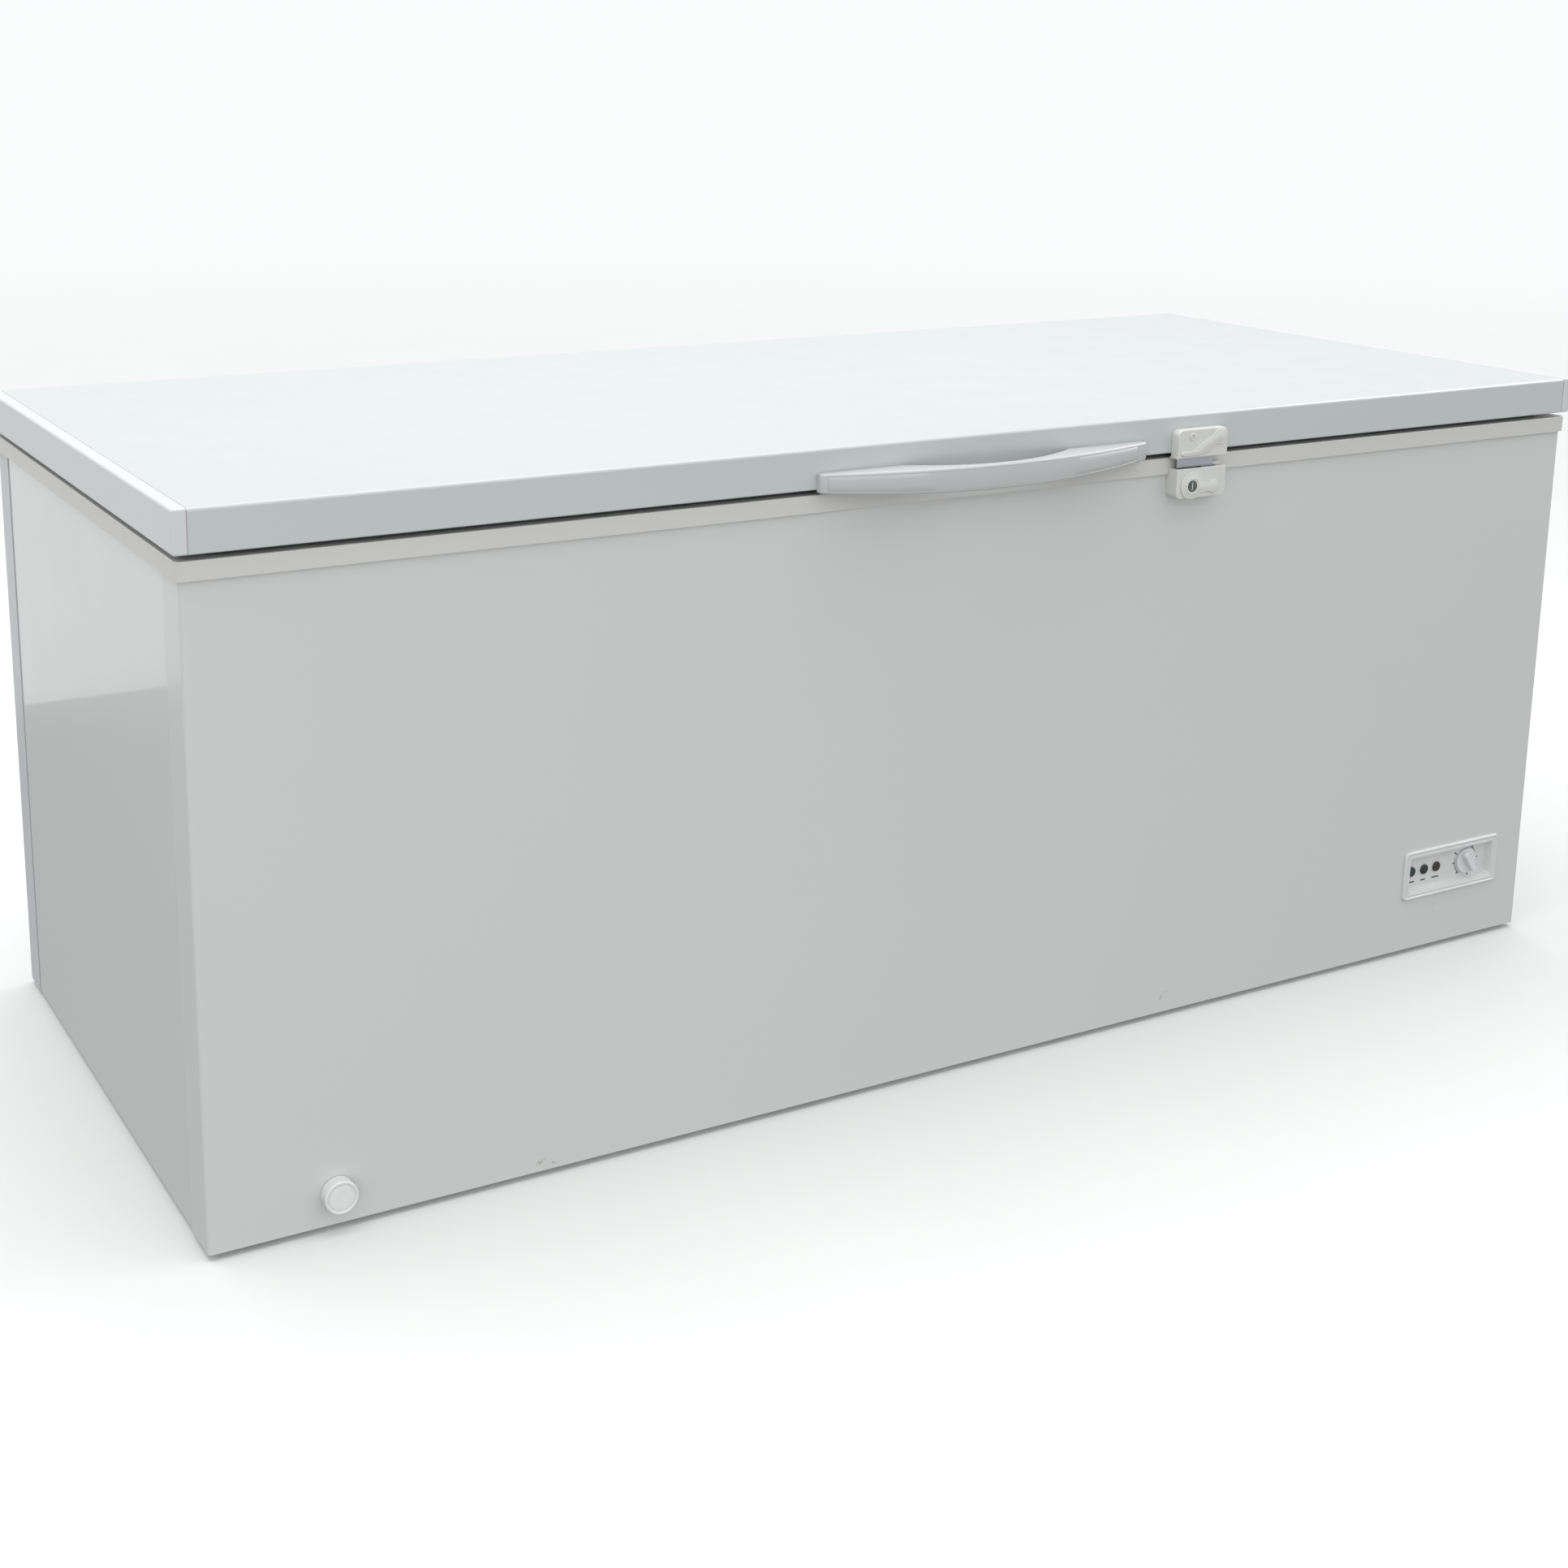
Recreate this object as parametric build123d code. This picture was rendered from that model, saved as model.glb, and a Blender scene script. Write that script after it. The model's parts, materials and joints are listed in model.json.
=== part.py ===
"""Chest freezer with a solid hinged lid, built as separate pieces.

Millimetres. +X is to the right seen from the front, the front faces -Y and +Z is up.
The origin is the middle of the whole object's box, on the floor.
"""

from build123d import *
import os

# ---------------------------------------------------------------- driving dimensions
CABINET_WIDTH = 2034.0
CABINET_DEPTH = 846.0
HEIGHT = 845.0
PANEL_BOTTOM = 8.0
SHEET = 1.0
WALL = 75.0

RIM_BOTTOM = 767.7
RIM_TOP = 789.2
RIM_OVERHANG = 4.0

LID_BOTTOM = 795.9
LID_OVERHANG = 7.0
LID_REAR_OVERHANG = 9.0
END_CAP_WIDTH = 16.0

HANDLE_CENTRE_X = -12.5
HANDLE_LENGTH = 489.0
HANDLE_REACH = 56.0
HANDLE_BOTTOM = 785.0
HANDLE_END_BOTTOM = 792.5
HANDLE_TOP = 816.0

LOCK_LEFT = 281.0
LOCK_WIDTH = 82.0
LOCK_FRONT = 21.0
KEY_X = 306.0
KEY_Z = 753.0

BEZEL_CENTRE_X = 868.5
BEZEL_CENTRE_Z = 123.3
BEZEL_WIDTH = 191.0
BEZEL_HEIGHT = 75.5
BEZEL_DEPTH = 9.5
BEZEL_PROUD = 3.0
LAMP_RADIUS = 7.75
LAMP_X = {"left": 795.6, "middle": 821.2, "right": 846.2}
LAMP_Z = 126.0
KNOB_X = 907.4
KNOB_Z = 125.0
KNOB_RADIUS = 19.0

DRAIN_X = -868.0
DRAIN_Z = 47.0
CAP_RADIUS = 19.75
CAP_REACH = 17.0

HINGE_X = 700.0
HINGE_AXIS_BACK = 18.0
HINGE_AXIS_Z = 788.0
HINGE_PIN_RADIUS = 4.0
KNUCKLE_RADIUS = 7.5
EAR_RADIUS = 9.0

STEP_WIDTH = 290.0
STEP_HEIGHT = 292.0
LINER_FLOOR = 96.0
LINER_SHEET = 1.2

BASKET_WIDTH = 420.0
BASKET_HEIGHT = 200.0
BASKET_LEFT = 490.0

# ---------------------------------------------------------------- derived places
HINGE_REACH = HINGE_AXIS_BACK + EAR_RADIUS
HALF_W = CABINET_WIDTH / 2
Y_FRONT = -(CABINET_DEPTH + HINGE_REACH - HANDLE_REACH) / 2
Y_BACK = Y_FRONT + CABINET_DEPTH
LID_FRONT = Y_FRONT - LID_OVERHANG
LID_BACK = Y_BACK + LID_REAR_OVERHANG
LID_HALF_W = HALF_W + LID_OVERHANG
SKIN_HALF_W = LID_HALF_W - END_CAP_WIDTH
HINGE_Y = Y_BACK + HINGE_AXIS_BACK

LINER_HALF_W = HALF_W - WALL
LINER_FRONT = Y_FRONT + WALL
LINER_BACK = Y_BACK - WALL
LINER_TOP = 785.9
LINER_RADIUS = 15.0
BULKHEAD_X = HALF_W - STEP_WIDTH
BULKHEAD_TOP = PANEL_BOTTOM + STEP_HEIGHT
STEP_X = BULKHEAD_X - WALL
STEP_TOP = BULKHEAD_TOP + WALL

FRONT_RETURN = 60.5
REAR_RETURN = 53.6
PANEL_TOP = 780.0
SIDE_RECESS = 1.2
PAN_TOP = PANEL_BOTTOM + 1.8
LAP = 12.0
FOAM_GAP = 0.2

LEDGE_Z = 740.0
LEDGE_WIDTH = 12.0
RIM_WALL = 3.0
SKIRT_GAP = 0.3

LOCK_RIGHT = LOCK_LEFT + LOCK_WIDTH
LOCK_WALL = 2.5
TONGUE_Y = Y_FRONT - 12.0
TONGUE_SHEET = 1.5


# ---------------------------------------------------------------- shape helpers
def block(x0, x1, y0, y1, z0, z1):
    """Box given by its two corners."""
    centre = Pos((x0 + x1) / 2, (y0 + y1) / 2, (z0 + z1) / 2)
    return centre * Box(x1 - x0, y1 - y0, z1 - z0)


def rounded_block(half_x, y0, y1, z0, z1, radius):
    """Box about x = 0 with its upright edges rounded."""
    body = block(-half_x, half_x, y0, y1, z0, z1)
    return fillet(body.edges().filter_by(Axis.Z), radius)


def rod_x(x0, x1, y, z, radius):
    return Pos((x0 + x1) / 2, y, z) * Rot(0, 90, 0) * Cylinder(radius, x1 - x0)


def rod_y(x, y0, y1, z, radius):
    return Pos(x, (y0 + y1) / 2, z) * Rot(90, 0, 0) * Cylinder(radius, y1 - y0)


def rod_z(x, y, z0, z1, radius):
    return Pos(x, y, (z0 + z1) / 2) * Cylinder(radius, z1 - z0)


def tube(points, radius, bends):
    """Round bar along straight runs joined by tangent arcs."""
    path = FilletPolyline(*points, radius=bends)
    section = Plane(origin=path @ 0, z_dir=path % 0) * Circle(radius)
    return sweep(section, path=path)


def screw_y(x, y_head, z, direction, length, shank=2.0, head=4.5, head_height=2.4):
    """Pan-head screw whose head sits on y_head and whose shank points along direction (+1 or -1)."""
    heads = sorted((y_head, y_head - direction * head_height))
    shanks = sorted((y_head, y_head + direction * length))
    body = rod_y(x, heads[0], heads[1], z, head) + rod_y(x, shanks[0], shanks[1], z, shank)
    recess = rod_y(x, heads[0] - 1, heads[0] + 1, z, 1.2)
    if direction < 0:
        recess = rod_y(x, heads[1] - 1, heads[1] + 1, z, 1.2)
    return body - recess


def hole_y(x, y0, y1, z, radius):
    return rod_y(x, min(y0, y1), max(y0, y1), z, radius)


# ---------------------------------------------------------------- wrapped refrigerant coils
CONDENSER_RADIUS = 3.0
EVAPORATOR_RADIUS = 4.0
CONDENSER_CORNER = 30.0
RISER_BEND = 10.0
DROP_BEND = 7.0
DROP_OFFSET = 16.0
PORT_Z = BULKHEAD_TOP - 12.0
GROOVE_GAP = 0.3


class Coil:
    """Tube wrapped round the cabinet on several levels, with both ends dropping to the machine space."""

    def __init__(self, half_x, y_front, y_back, corner, levels, first_x, step_x, end_x, radius, side):
        self.half_x = half_x
        self.y_front = y_front
        self.y_back = y_back
        self.corner = corner
        self.levels = levels
        self.risers = [first_x + step_x * i for i in range(len(levels))]
        self.end_x = end_x
        self.radius = radius
        self.drop_y = y_back + side * DROP_OFFSET

    def solid(self):
        points = [(self.risers[0], self.y_back, PORT_Z)]
        bends = []
        last = len(self.levels) - 1
        for i, z in enumerate(self.levels):
            leave_x = self.end_x if i == last else self.risers[i + 1]
            points += [
                (self.risers[i], self.y_back, z),
                (-self.half_x, self.y_back, z),
                (-self.half_x, self.y_front, z),
                (self.half_x, self.y_front, z),
                (self.half_x, self.y_back, z),
                (leave_x, self.y_back, z),
            ]
            bends += [RISER_BEND] + [self.corner] * 4 + [DROP_BEND if i == last else RISER_BEND]
        points += [(self.end_x, self.drop_y, self.levels[-1]), (self.end_x, self.drop_y, PORT_Z)]
        bends += [DROP_BEND]
        return tube(points, self.radius, bends)

    def grooves(self):
        """Square channels that the tube lies in, for cutting from the foam."""
        g = self.radius + GROOVE_GAP
        cuts = []
        for z in self.levels:
            outer = rounded_block(
                self.half_x + g, self.y_front - g, self.y_back + g, z - g, z + g, self.corner + g
            )
            inner = rounded_block(
                self.half_x - g, self.y_front + g, self.y_back - g, z - g - 1, z + g + 1, self.corner - g
            )
            cuts.append(outer - inner)
        bend = RISER_BEND + g
        starts = [PORT_Z] + self.levels[:-1]
        for i, (x, z0, z1) in enumerate(zip(self.risers, starts, self.levels)):
            y0 = self.y_back - g
            y1 = self.y_back + g
            cuts.append(block(x - g, x + g, y0, y1, z0, z1))
            cuts.append(block(x - bend, x + g, y0, y1, z1 - bend, z1 + g))
            if i > 0:
                cuts.append(block(x - g, x + bend, y0, y1, z0 - g, z0 + bend))
        top = self.levels[-1]
        y0, y1 = sorted((self.y_back, self.drop_y))
        cuts.append(block(self.end_x - g, self.end_x + bend, y0 - g, y1 + g, top - bend, top + g))
        cuts.append(block(self.end_x - g, self.end_x + g, self.drop_y - g, self.drop_y + g, PORT_Z, top))
        return cuts

    def ports(self):
        """Centres in plan of the two ends, for the bulkhead's holes."""
        return [(self.risers[0], self.y_back), (self.end_x, self.drop_y)]


condenser_offset = SHEET + CONDENSER_RADIUS + 0.4
condenser = Coil(
    HALF_W - condenser_offset - SIDE_RECESS,
    Y_FRONT + condenser_offset,
    Y_BACK - condenser_offset,
    CONDENSER_CORNER,
    [360.0, 440.0, 520.0, 600.0, 680.0],
    800.0,
    22.0,
    920.0,
    CONDENSER_RADIUS,
    -1,
)
evaporator_offset = EVAPORATOR_RADIUS + 0.4
evaporator = Coil(
    LINER_HALF_W + evaporator_offset,
    LINER_FRONT - evaporator_offset,
    LINER_BACK + evaporator_offset,
    LINER_RADIUS + evaporator_offset,
    [400.0, 465.0, 530.0, 595.0, 660.0, 720.0],
    760.0,
    24.0,
    900.0,
    EVAPORATOR_RADIUS,
    1,
)


# ---------------------------------------------------------------- screws and holes that several pieces share
HANDLE_SCREWS = [(HANDLE_CENTRE_X + side * 200.0, 804.5) for side in (-1, 1)]
BRACKET_SCREWS = [(side * HINGE_X + dx, z) for side in (-1, 1) for dx in (-18, 18) for z in (665.0, 745.0)]
LEAF_SCREWS = [(side * HINGE_X + dx, 822.0) for side in (-1, 1) for dx in (-16, 0, 16)]
FEET = [(sx * (HALF_W - 60.0), y) for sx in (-1, 1) for y in (Y_FRONT + 60.0, Y_BACK - 60.0)]
FOOT_RADIUS = 22.0
FOOT_STEM_RADIUS = 6.0
FOOT_STEM_TOP = 26.0

GRILLE_Y0 = Y_BACK - 330.0
GRILLE_Y1 = Y_BACK - 90.0
GRILLE_Z0 = 50.0
GRILLE_Z1 = 250.0
GRILLE_SCREWS = [
    (y, z) for y in (GRILLE_Y0 + 8, GRILLE_Y1 - 8) for z in (GRILLE_Z0 + 8, GRILLE_Z1 - 8)
]
COVER_X0 = BULKHEAD_X + 20.0
COVER_X1 = HALF_W - REAR_RETURN - 14.0
COVER_Z0 = 40.0
COVER_Z1 = 275.0
COVER_SCREWS = [(x, z) for x in (COVER_X0 + 8, COVER_X1 - 8) for z in (COVER_Z0 + 8, COVER_Z1 - 8)]
GLAND_X = HALF_W - 34.0
GLAND_Z = 60.0
DRAIN_Y = Y_FRONT + 150.0
DRAIN_PIPE_RADIUS = 11.0
DRAIN_BORE_RADIUS = 9.0
DRAIN_OUTLET_RADIUS = 10.0
DRAIN_OUTLET_BORE = 8.0
DRAIN_COLLAR_RADIUS = 14.0
DRAIN_PIPE_BOTTOM = DRAIN_Z - DRAIN_OUTLET_RADIUS - 2.0


# ---------------------------------------------------------------- cabinet shell
def wrapped_panel(y_face, side, depth):
    """Sheet across the cabinet with a return of the given depth round each corner."""
    y0, y1 = Y_FRONT, Y_BACK
    outer = rounded_block(HALF_W, y0, y1, PANEL_BOTTOM, PANEL_TOP, 5.5)
    inner = rounded_block(
        HALF_W - SHEET, y0 + SHEET, y1 - SHEET, PANEL_BOTTOM - 1, PANEL_TOP + 1, 5.5 - SHEET
    )
    wrap = outer - inner
    if side < 0:
        return wrap - block(-HALF_W - 1, HALF_W + 1, y_face + depth, Y_BACK + 1, 0, HEIGHT)
    return wrap - block(-HALF_W - 1, HALF_W + 1, Y_FRONT - 1, y_face - depth, 0, HEIGHT)


def front_panel():
    panel = wrapped_panel(Y_FRONT, -1, FRONT_RETURN)
    y0 = Y_FRONT - 1
    y1 = Y_FRONT + 3
    panel -= block(
        BEZEL_CENTRE_X - BEZEL_WIDTH / 2 + 5,
        BEZEL_CENTRE_X + BEZEL_WIDTH / 2 - 5,
        y0,
        y1,
        BEZEL_CENTRE_Z - BEZEL_HEIGHT / 2 + 5,
        BEZEL_CENTRE_Z + BEZEL_HEIGHT / 2 - 5,
    )
    panel -= hole_y(DRAIN_X, y0, y1, DRAIN_Z, DRAIN_COLLAR_RADIUS + 0.2)
    panel -= hole_y(KEY_X, y0, y1, KEY_Z, 9.0)
    return panel


def rear_panel():
    panel = wrapped_panel(Y_BACK, 1, REAR_RETURN)
    y0 = Y_BACK - 3
    y1 = Y_BACK + 1
    panel -= block(COVER_X0 + 14, COVER_X1 - 14, y0, y1, COVER_Z0 + 14, COVER_Z1 - 14)
    panel -= hole_y(GLAND_X, y0, y1, GLAND_Z, 8.2)
    for x, z in BRACKET_SCREWS + COVER_SCREWS:
        panel -= hole_y(x, y0, y1, z, 2.2)
    return panel


def side_panel(side):
    x_out = HALF_W - SIDE_RECESS
    y0 = Y_FRONT + FRONT_RETURN - LAP
    y1 = Y_BACK - REAR_RETURN + LAP
    x0, x1 = sorted((side * x_out, side * (x_out - SHEET)))
    panel = block(x0, x1, y0, y1, PANEL_BOTTOM, PANEL_TOP)
    if side > 0:
        panel -= block(x0 - 1, x1 + 1, GRILLE_Y0 + 14, GRILLE_Y1 - 14, GRILLE_Z0 + 14, GRILLE_Z1 - 14)
        for y, z in GRILLE_SCREWS:
            panel -= rod_x(x0 - 1, x1 + 1, y, z, 2.2)
    return panel


PAN_HALF_W = HALF_W - SIDE_RECESS - SHEET - 0.3
PAN_FLANGE = 14.0


def base_pan():
    y0 = Y_FRONT + SHEET + 0.3
    y1 = Y_BACK - SHEET - 0.3
    pan = rounded_block(PAN_HALF_W, y0, y1, PANEL_BOTTOM + 0.6, PANEL_BOTTOM + 0.6 + PAN_FLANGE, 4.0)
    pan -= rounded_block(PAN_HALF_W - 1.2, y0 + 1.2, y1 - 1.2, PAN_TOP, 60, 2.8)
    for x, y in FEET:
        pan -= rod_z(x, y, 0, 40, FOOT_STEM_RADIUS)
    for i in range(5):
        x = BULKHEAD_X + 60 + 38 * i
        pan -= block(x, x + 12, Y_FRONT + 120, Y_FRONT + 300, 0, 40)
    return pan


def feet():
    pads = []
    for x, y in FEET:
        pad = rod_z(x, y, 0, PANEL_BOTTOM + 0.6, FOOT_RADIUS)
        pad = chamfer(pad.faces().sort_by(Axis.Z)[0].edges(), 1.5)
        pads.append(pad + rod_z(x, y, PANEL_BOTTOM, FOOT_STEM_TOP, FOOT_STEM_RADIUS))
    return pads


def rim_frame():
    """Plastic frame that caps the foam between the shell and the liner, with a ledge for the basket."""
    outer_half = HALF_W + RIM_OVERHANG
    outer = rounded_block(
        outer_half, Y_FRONT - RIM_OVERHANG, Y_BACK + RIM_OVERHANG, RIM_BOTTOM, RIM_TOP, 7.0
    )
    outer = fillet(outer.faces().sort_by(Axis.Z)[-1].edges(), 1.4)
    cavity_half = LINER_HALF_W - LINER_SHEET - SKIRT_GAP
    cavity_y0 = LINER_FRONT + LINER_SHEET + SKIRT_GAP
    cavity_y1 = LINER_BACK - LINER_SHEET - SKIRT_GAP
    under = rounded_block(
        outer_half - RIM_WALL,
        Y_FRONT - RIM_OVERHANG + RIM_WALL,
        Y_BACK + RIM_OVERHANG - RIM_WALL,
        RIM_BOTTOM - 1,
        RIM_TOP - RIM_WALL,
        4.0,
    )
    rim = outer - under
    skirt = rounded_block(cavity_half, cavity_y0, cavity_y1, LEDGE_Z, RIM_TOP - 0.5, LINER_RADIUS - 1.5)
    rim += skirt
    mouth = rounded_block(
        cavity_half - RIM_WALL,
        cavity_y0 + RIM_WALL,
        cavity_y1 - RIM_WALL,
        LEDGE_Z + RIM_WALL,
        RIM_TOP + 1,
        LINER_RADIUS - 4.5,
    )
    ledge_edge = RIM_WALL + LEDGE_WIDTH
    way_down = block(
        -cavity_half + ledge_edge,
        cavity_half - ledge_edge,
        cavity_y0 + ledge_edge,
        cavity_y1 - ledge_edge,
        LEDGE_Z - 1,
        RIM_TOP + 1,
    )
    return rim - mouth - way_down


def liner_shape(inset, top):
    """Stepped box of the storage space, inset from the liner's outer faces."""
    x = LINER_HALF_W - inset
    y0 = LINER_FRONT + inset
    y1 = LINER_BACK - inset
    low = block(-x, STEP_X - inset, y0, y1, LINER_FLOOR + inset, STEP_TOP + inset + 20)
    high = block(-x, x, y0, y1, STEP_TOP + inset, top)
    body = low + high
    return fillet(body.edges().filter_by(Axis.Z), LINER_RADIUS - inset)


def inner_liner():
    liner = liner_shape(0, LINER_TOP) - liner_shape(LINER_SHEET, LINER_TOP + 20)
    return liner - rod_z(DRAIN_X, DRAIN_Y, LINER_FLOOR - 5, LINER_FLOOR + 5, DRAIN_PIPE_RADIUS + 0.1)


def drain_pipe():
    """Elbow from the liner's floor to the threaded collar on the front."""
    down = rod_z(DRAIN_X, DRAIN_Y, DRAIN_PIPE_BOTTOM, LINER_FLOOR + LINER_SHEET, DRAIN_PIPE_RADIUS)
    out = rod_y(DRAIN_X, Y_FRONT, DRAIN_Y, DRAIN_Z, DRAIN_OUTLET_RADIUS)
    collar = rod_y(DRAIN_X, Y_FRONT - 13, Y_FRONT + 4, DRAIN_Z, DRAIN_COLLAR_RADIUS)
    pipe = down + out + collar
    pipe -= rod_z(DRAIN_X, DRAIN_Y, DRAIN_PIPE_BOTTOM + 2.5, LINER_FLOOR + 5, DRAIN_BORE_RADIUS)
    return pipe - rod_y(DRAIN_X, Y_FRONT - 20, DRAIN_Y, DRAIN_Z, DRAIN_OUTLET_BORE)


def drain_cap():
    """Ribbed screw cap over the collar, with a ring and a groove round a recessed disc."""
    front = Y_FRONT - CAP_REACH
    cap = rod_y(DRAIN_X, front, Y_FRONT - 0.6, DRAIN_Z, CAP_RADIUS)
    cap = chamfer(cap.edges().filter_by(GeomType.CIRCLE).sort_by(Axis.Y)[0], 0.8)
    cap -= rod_y(DRAIN_X, front - 1, front + 1.5, DRAIN_Z, CAP_RADIUS - 2.5)
    cap += rod_y(DRAIN_X, front + 0.7, front + 2, DRAIN_Z, CAP_RADIUS - 6.0)
    cap -= rod_y(DRAIN_X, front + 3.2, Y_FRONT + 1, DRAIN_Z, DRAIN_COLLAR_RADIUS + 0.5)
    ribs = 28
    for i in range(ribs):
        turn = Pos(DRAIN_X, 0, DRAIN_Z) * Rot(0, 360 / ribs * i, 0)
        cap -= turn * rod_y(CAP_RADIUS + 0.5, front + 3, Y_FRONT + 1, 0, 1.2)
    return cap


def drain_plug():
    """Rubber stopper in the liner's floor with a ring to pull it by."""
    floor = LINER_FLOOR + LINER_SHEET
    plug = rod_z(DRAIN_X, DRAIN_Y, floor - 14, floor + 2, DRAIN_BORE_RADIUS - 0.4)
    plug += rod_z(DRAIN_X, DRAIN_Y, floor + 0.1, floor + 3.1, 16.0)
    ring = Pos(DRAIN_X, DRAIN_Y, floor + 9.5) * Rot(90, 0, 0) * Torus(7.0, 1.6)
    return plug + ring


# ---------------------------------------------------------------- foam and machine space
def machine_bulkhead():
    """Folded sheet that keeps the foam out of the machine space."""
    y0 = Y_FRONT + SHEET + 0.4
    y1 = Y_BACK - SHEET - 0.4
    x1 = HALF_W - SIDE_RECESS - SHEET - 0.3
    wall = block(BULKHEAD_X - 1, BULKHEAD_X, y0 + 1.5, y1 - 1.5, PAN_TOP + 0.1, BULKHEAD_TOP + 1)
    roof = block(BULKHEAD_X - 1, x1, y0 + 1.5, y1 - 1.5, BULKHEAD_TOP, BULKHEAD_TOP + 1)
    sheet = wall + roof
    for coil in (condenser, evaporator):
        for x, y in coil.ports():
            sheet -= rod_z(x, y, BULKHEAD_TOP - 5, BULKHEAD_TOP + 5, coil.radius + 0.3)
    return sheet


def cabinet_foam():
    x = HALF_W - SIDE_RECESS - SHEET - FOAM_GAP
    y0 = Y_FRONT + SHEET + FOAM_GAP
    y1 = Y_BACK - SHEET - FOAM_GAP
    flange_top = PANEL_BOTTOM + 0.6 + PAN_FLANGE
    foam = rounded_block(x, y0, y1, flange_top + 0.2, LINER_TOP, 6.0)
    foam += rounded_block(x - 2, y0 + 2, y1 - 2, PAN_TOP + 0.1, flange_top + 5, 4.0)
    foam -= liner_shape(-FOAM_GAP, LINER_TOP + 20)
    foam -= block(
        BULKHEAD_X - 1 - FOAM_GAP, x + 10, y0 - 10, y1 + 10, 0, BULKHEAD_TOP + 1 + FOAM_GAP
    )
    for cut in condenser.grooves() + evaporator.grooves():
        foam -= cut
    foam -= rod_z(DRAIN_X, DRAIN_Y, DRAIN_PIPE_BOTTOM - 0.1, LINER_FLOOR + 5, DRAIN_PIPE_RADIUS + 0.1)
    foam -= rod_y(DRAIN_X, Y_FRONT, DRAIN_Y, DRAIN_Z, DRAIN_OUTLET_RADIUS + 0.1)
    foam -= rod_y(DRAIN_X, Y_FRONT, Y_FRONT + 4.1, DRAIN_Z, DRAIN_COLLAR_RADIUS + 0.1)
    foam -= rod_y(KEY_X, Y_FRONT, Y_FRONT + 12, KEY_Z, 9.0)
    for x, y in FEET:
        foam -= rod_z(x, y, 0, FOOT_STEM_TOP + 1, FOOT_STEM_RADIUS + 0.1)
    for x, z in BRACKET_SCREWS:
        foam -= hole_y(x, Y_BACK - 14, Y_BACK + 1, z, 2.1)
    return foam


MACHINE_X = BULKHEAD_X + 132.0
MACHINE_Y = Y_BACK - 240.0
LEG_X = 74.0
LEG_Y = 62.0
BASE_TOP = PAN_TOP + 2.4
GROMMET_TOP = BASE_TOP + 14.0
LEGS_TOP = GROMMET_TOP + 3.0
CAN_RADIUS = 72.0
CAN_TOP = LEGS_TOP + 168.0
LEGS = [(MACHINE_X + sx * LEG_X, MACHINE_Y + sy * LEG_Y) for sx in (-1, 1) for sy in (-1, 1)]
DISCHARGE_PORT = (MACHINE_X - 40.0, MACHINE_Y + CAN_RADIUS - 4.0, LEGS_TOP + 60.0)
SUCTION_PORT = (MACHINE_X + 40.0, MACHINE_Y + CAN_RADIUS - 4.0, LEGS_TOP + 96.0)
STUB_LENGTH = 20.0
STUB_RADIUS = 4.2


def compressor_base():
    margin = 26.0
    base = block(
        MACHINE_X - LEG_X - margin,
        MACHINE_X + LEG_X + margin,
        MACHINE_Y - LEG_Y - margin,
        MACHINE_Y + LEG_Y + margin,
        PAN_TOP + 0.2,
        BASE_TOP,
    )
    for x, y in LEGS:
        base -= rod_z(x, y, 0, 60, 3.0)
    return base


def compressor():
    """Welded steel can on a plate with four legs."""
    profile_height = CAN_TOP - LEGS_TOP
    dome = 34.0
    can = rod_z(MACHINE_X, MACHINE_Y, LEGS_TOP - 1, CAN_TOP, CAN_RADIUS)
    can = fillet(can.edges().filter_by(GeomType.CIRCLE).sort_by(Axis.Z)[-1], dome)
    seam_z = LEGS_TOP + 0.55 * profile_height
    can += rod_z(MACHINE_X, MACHINE_Y, seam_z, seam_z + 5, CAN_RADIUS + 3.5)
    plate = block(
        MACHINE_X - LEG_X - 16,
        MACHINE_X + LEG_X + 16,
        MACHINE_Y - LEG_Y - 16,
        MACHINE_Y + LEG_Y + 16,
        GROMMET_TOP,
        LEGS_TOP,
    )
    plate = fillet(plate.edges().filter_by(Axis.Z), 12)
    for x, y in LEGS:
        plate -= rod_z(x, y, 0, 60, 4.4)
    body = can + plate
    for x, y, z in (DISCHARGE_PORT, SUCTION_PORT):
        body += rod_y(x, y - 40, y + STUB_LENGTH, z, STUB_RADIUS)
    return body


def compressor_grommets():
    rings = []
    for x, y in LEGS:
        ring = rod_z(x, y, BASE_TOP, GROMMET_TOP, 12.0) - rod_z(x, y, 0, 60, 4.4)
        rings.append(fillet(ring.faces().sort_by(Axis.Z)[-1].edges().sort_by(SortBy.LENGTH)[-1], 2.0))
    return rings


def compressor_bolts():
    bolts = []
    for x, y in LEGS:
        head = Pos(x, y, LEGS_TOP + 1.6 + 2.5) * extrude(RegularPolygon(6.5, 6), amount=2.5, both=True)
        washer = rod_z(x, y, LEGS_TOP, LEGS_TOP + 1.6, 9.0)
        bolts.append(head + washer + rod_z(x, y, BASE_TOP - 2, LEGS_TOP + 1, 3.0 - 0.05))
    return bolts


def relay_cover():
    x0 = MACHINE_X - 26
    y1 = MACHINE_Y - CAN_RADIUS - 0.6
    cover = block(x0, x0 + 52, y1 - 36, y1 + 16, LEGS_TOP + 34, LEGS_TOP + 84)
    cover = fillet(cover.faces().sort_by(Axis.Y)[0].edges(), 5)
    return cover - rod_z(MACHINE_X, MACHINE_Y, 0, 300, CAN_RADIUS + 0.6)


PIPE_RADIUS = 3.0
DRIER_X = BULKHEAD_X + 215.0
DRIER_Y = Y_BACK - 130.0
DRIER_Z0 = 90.0
DRIER_Z1 = 200.0


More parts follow.
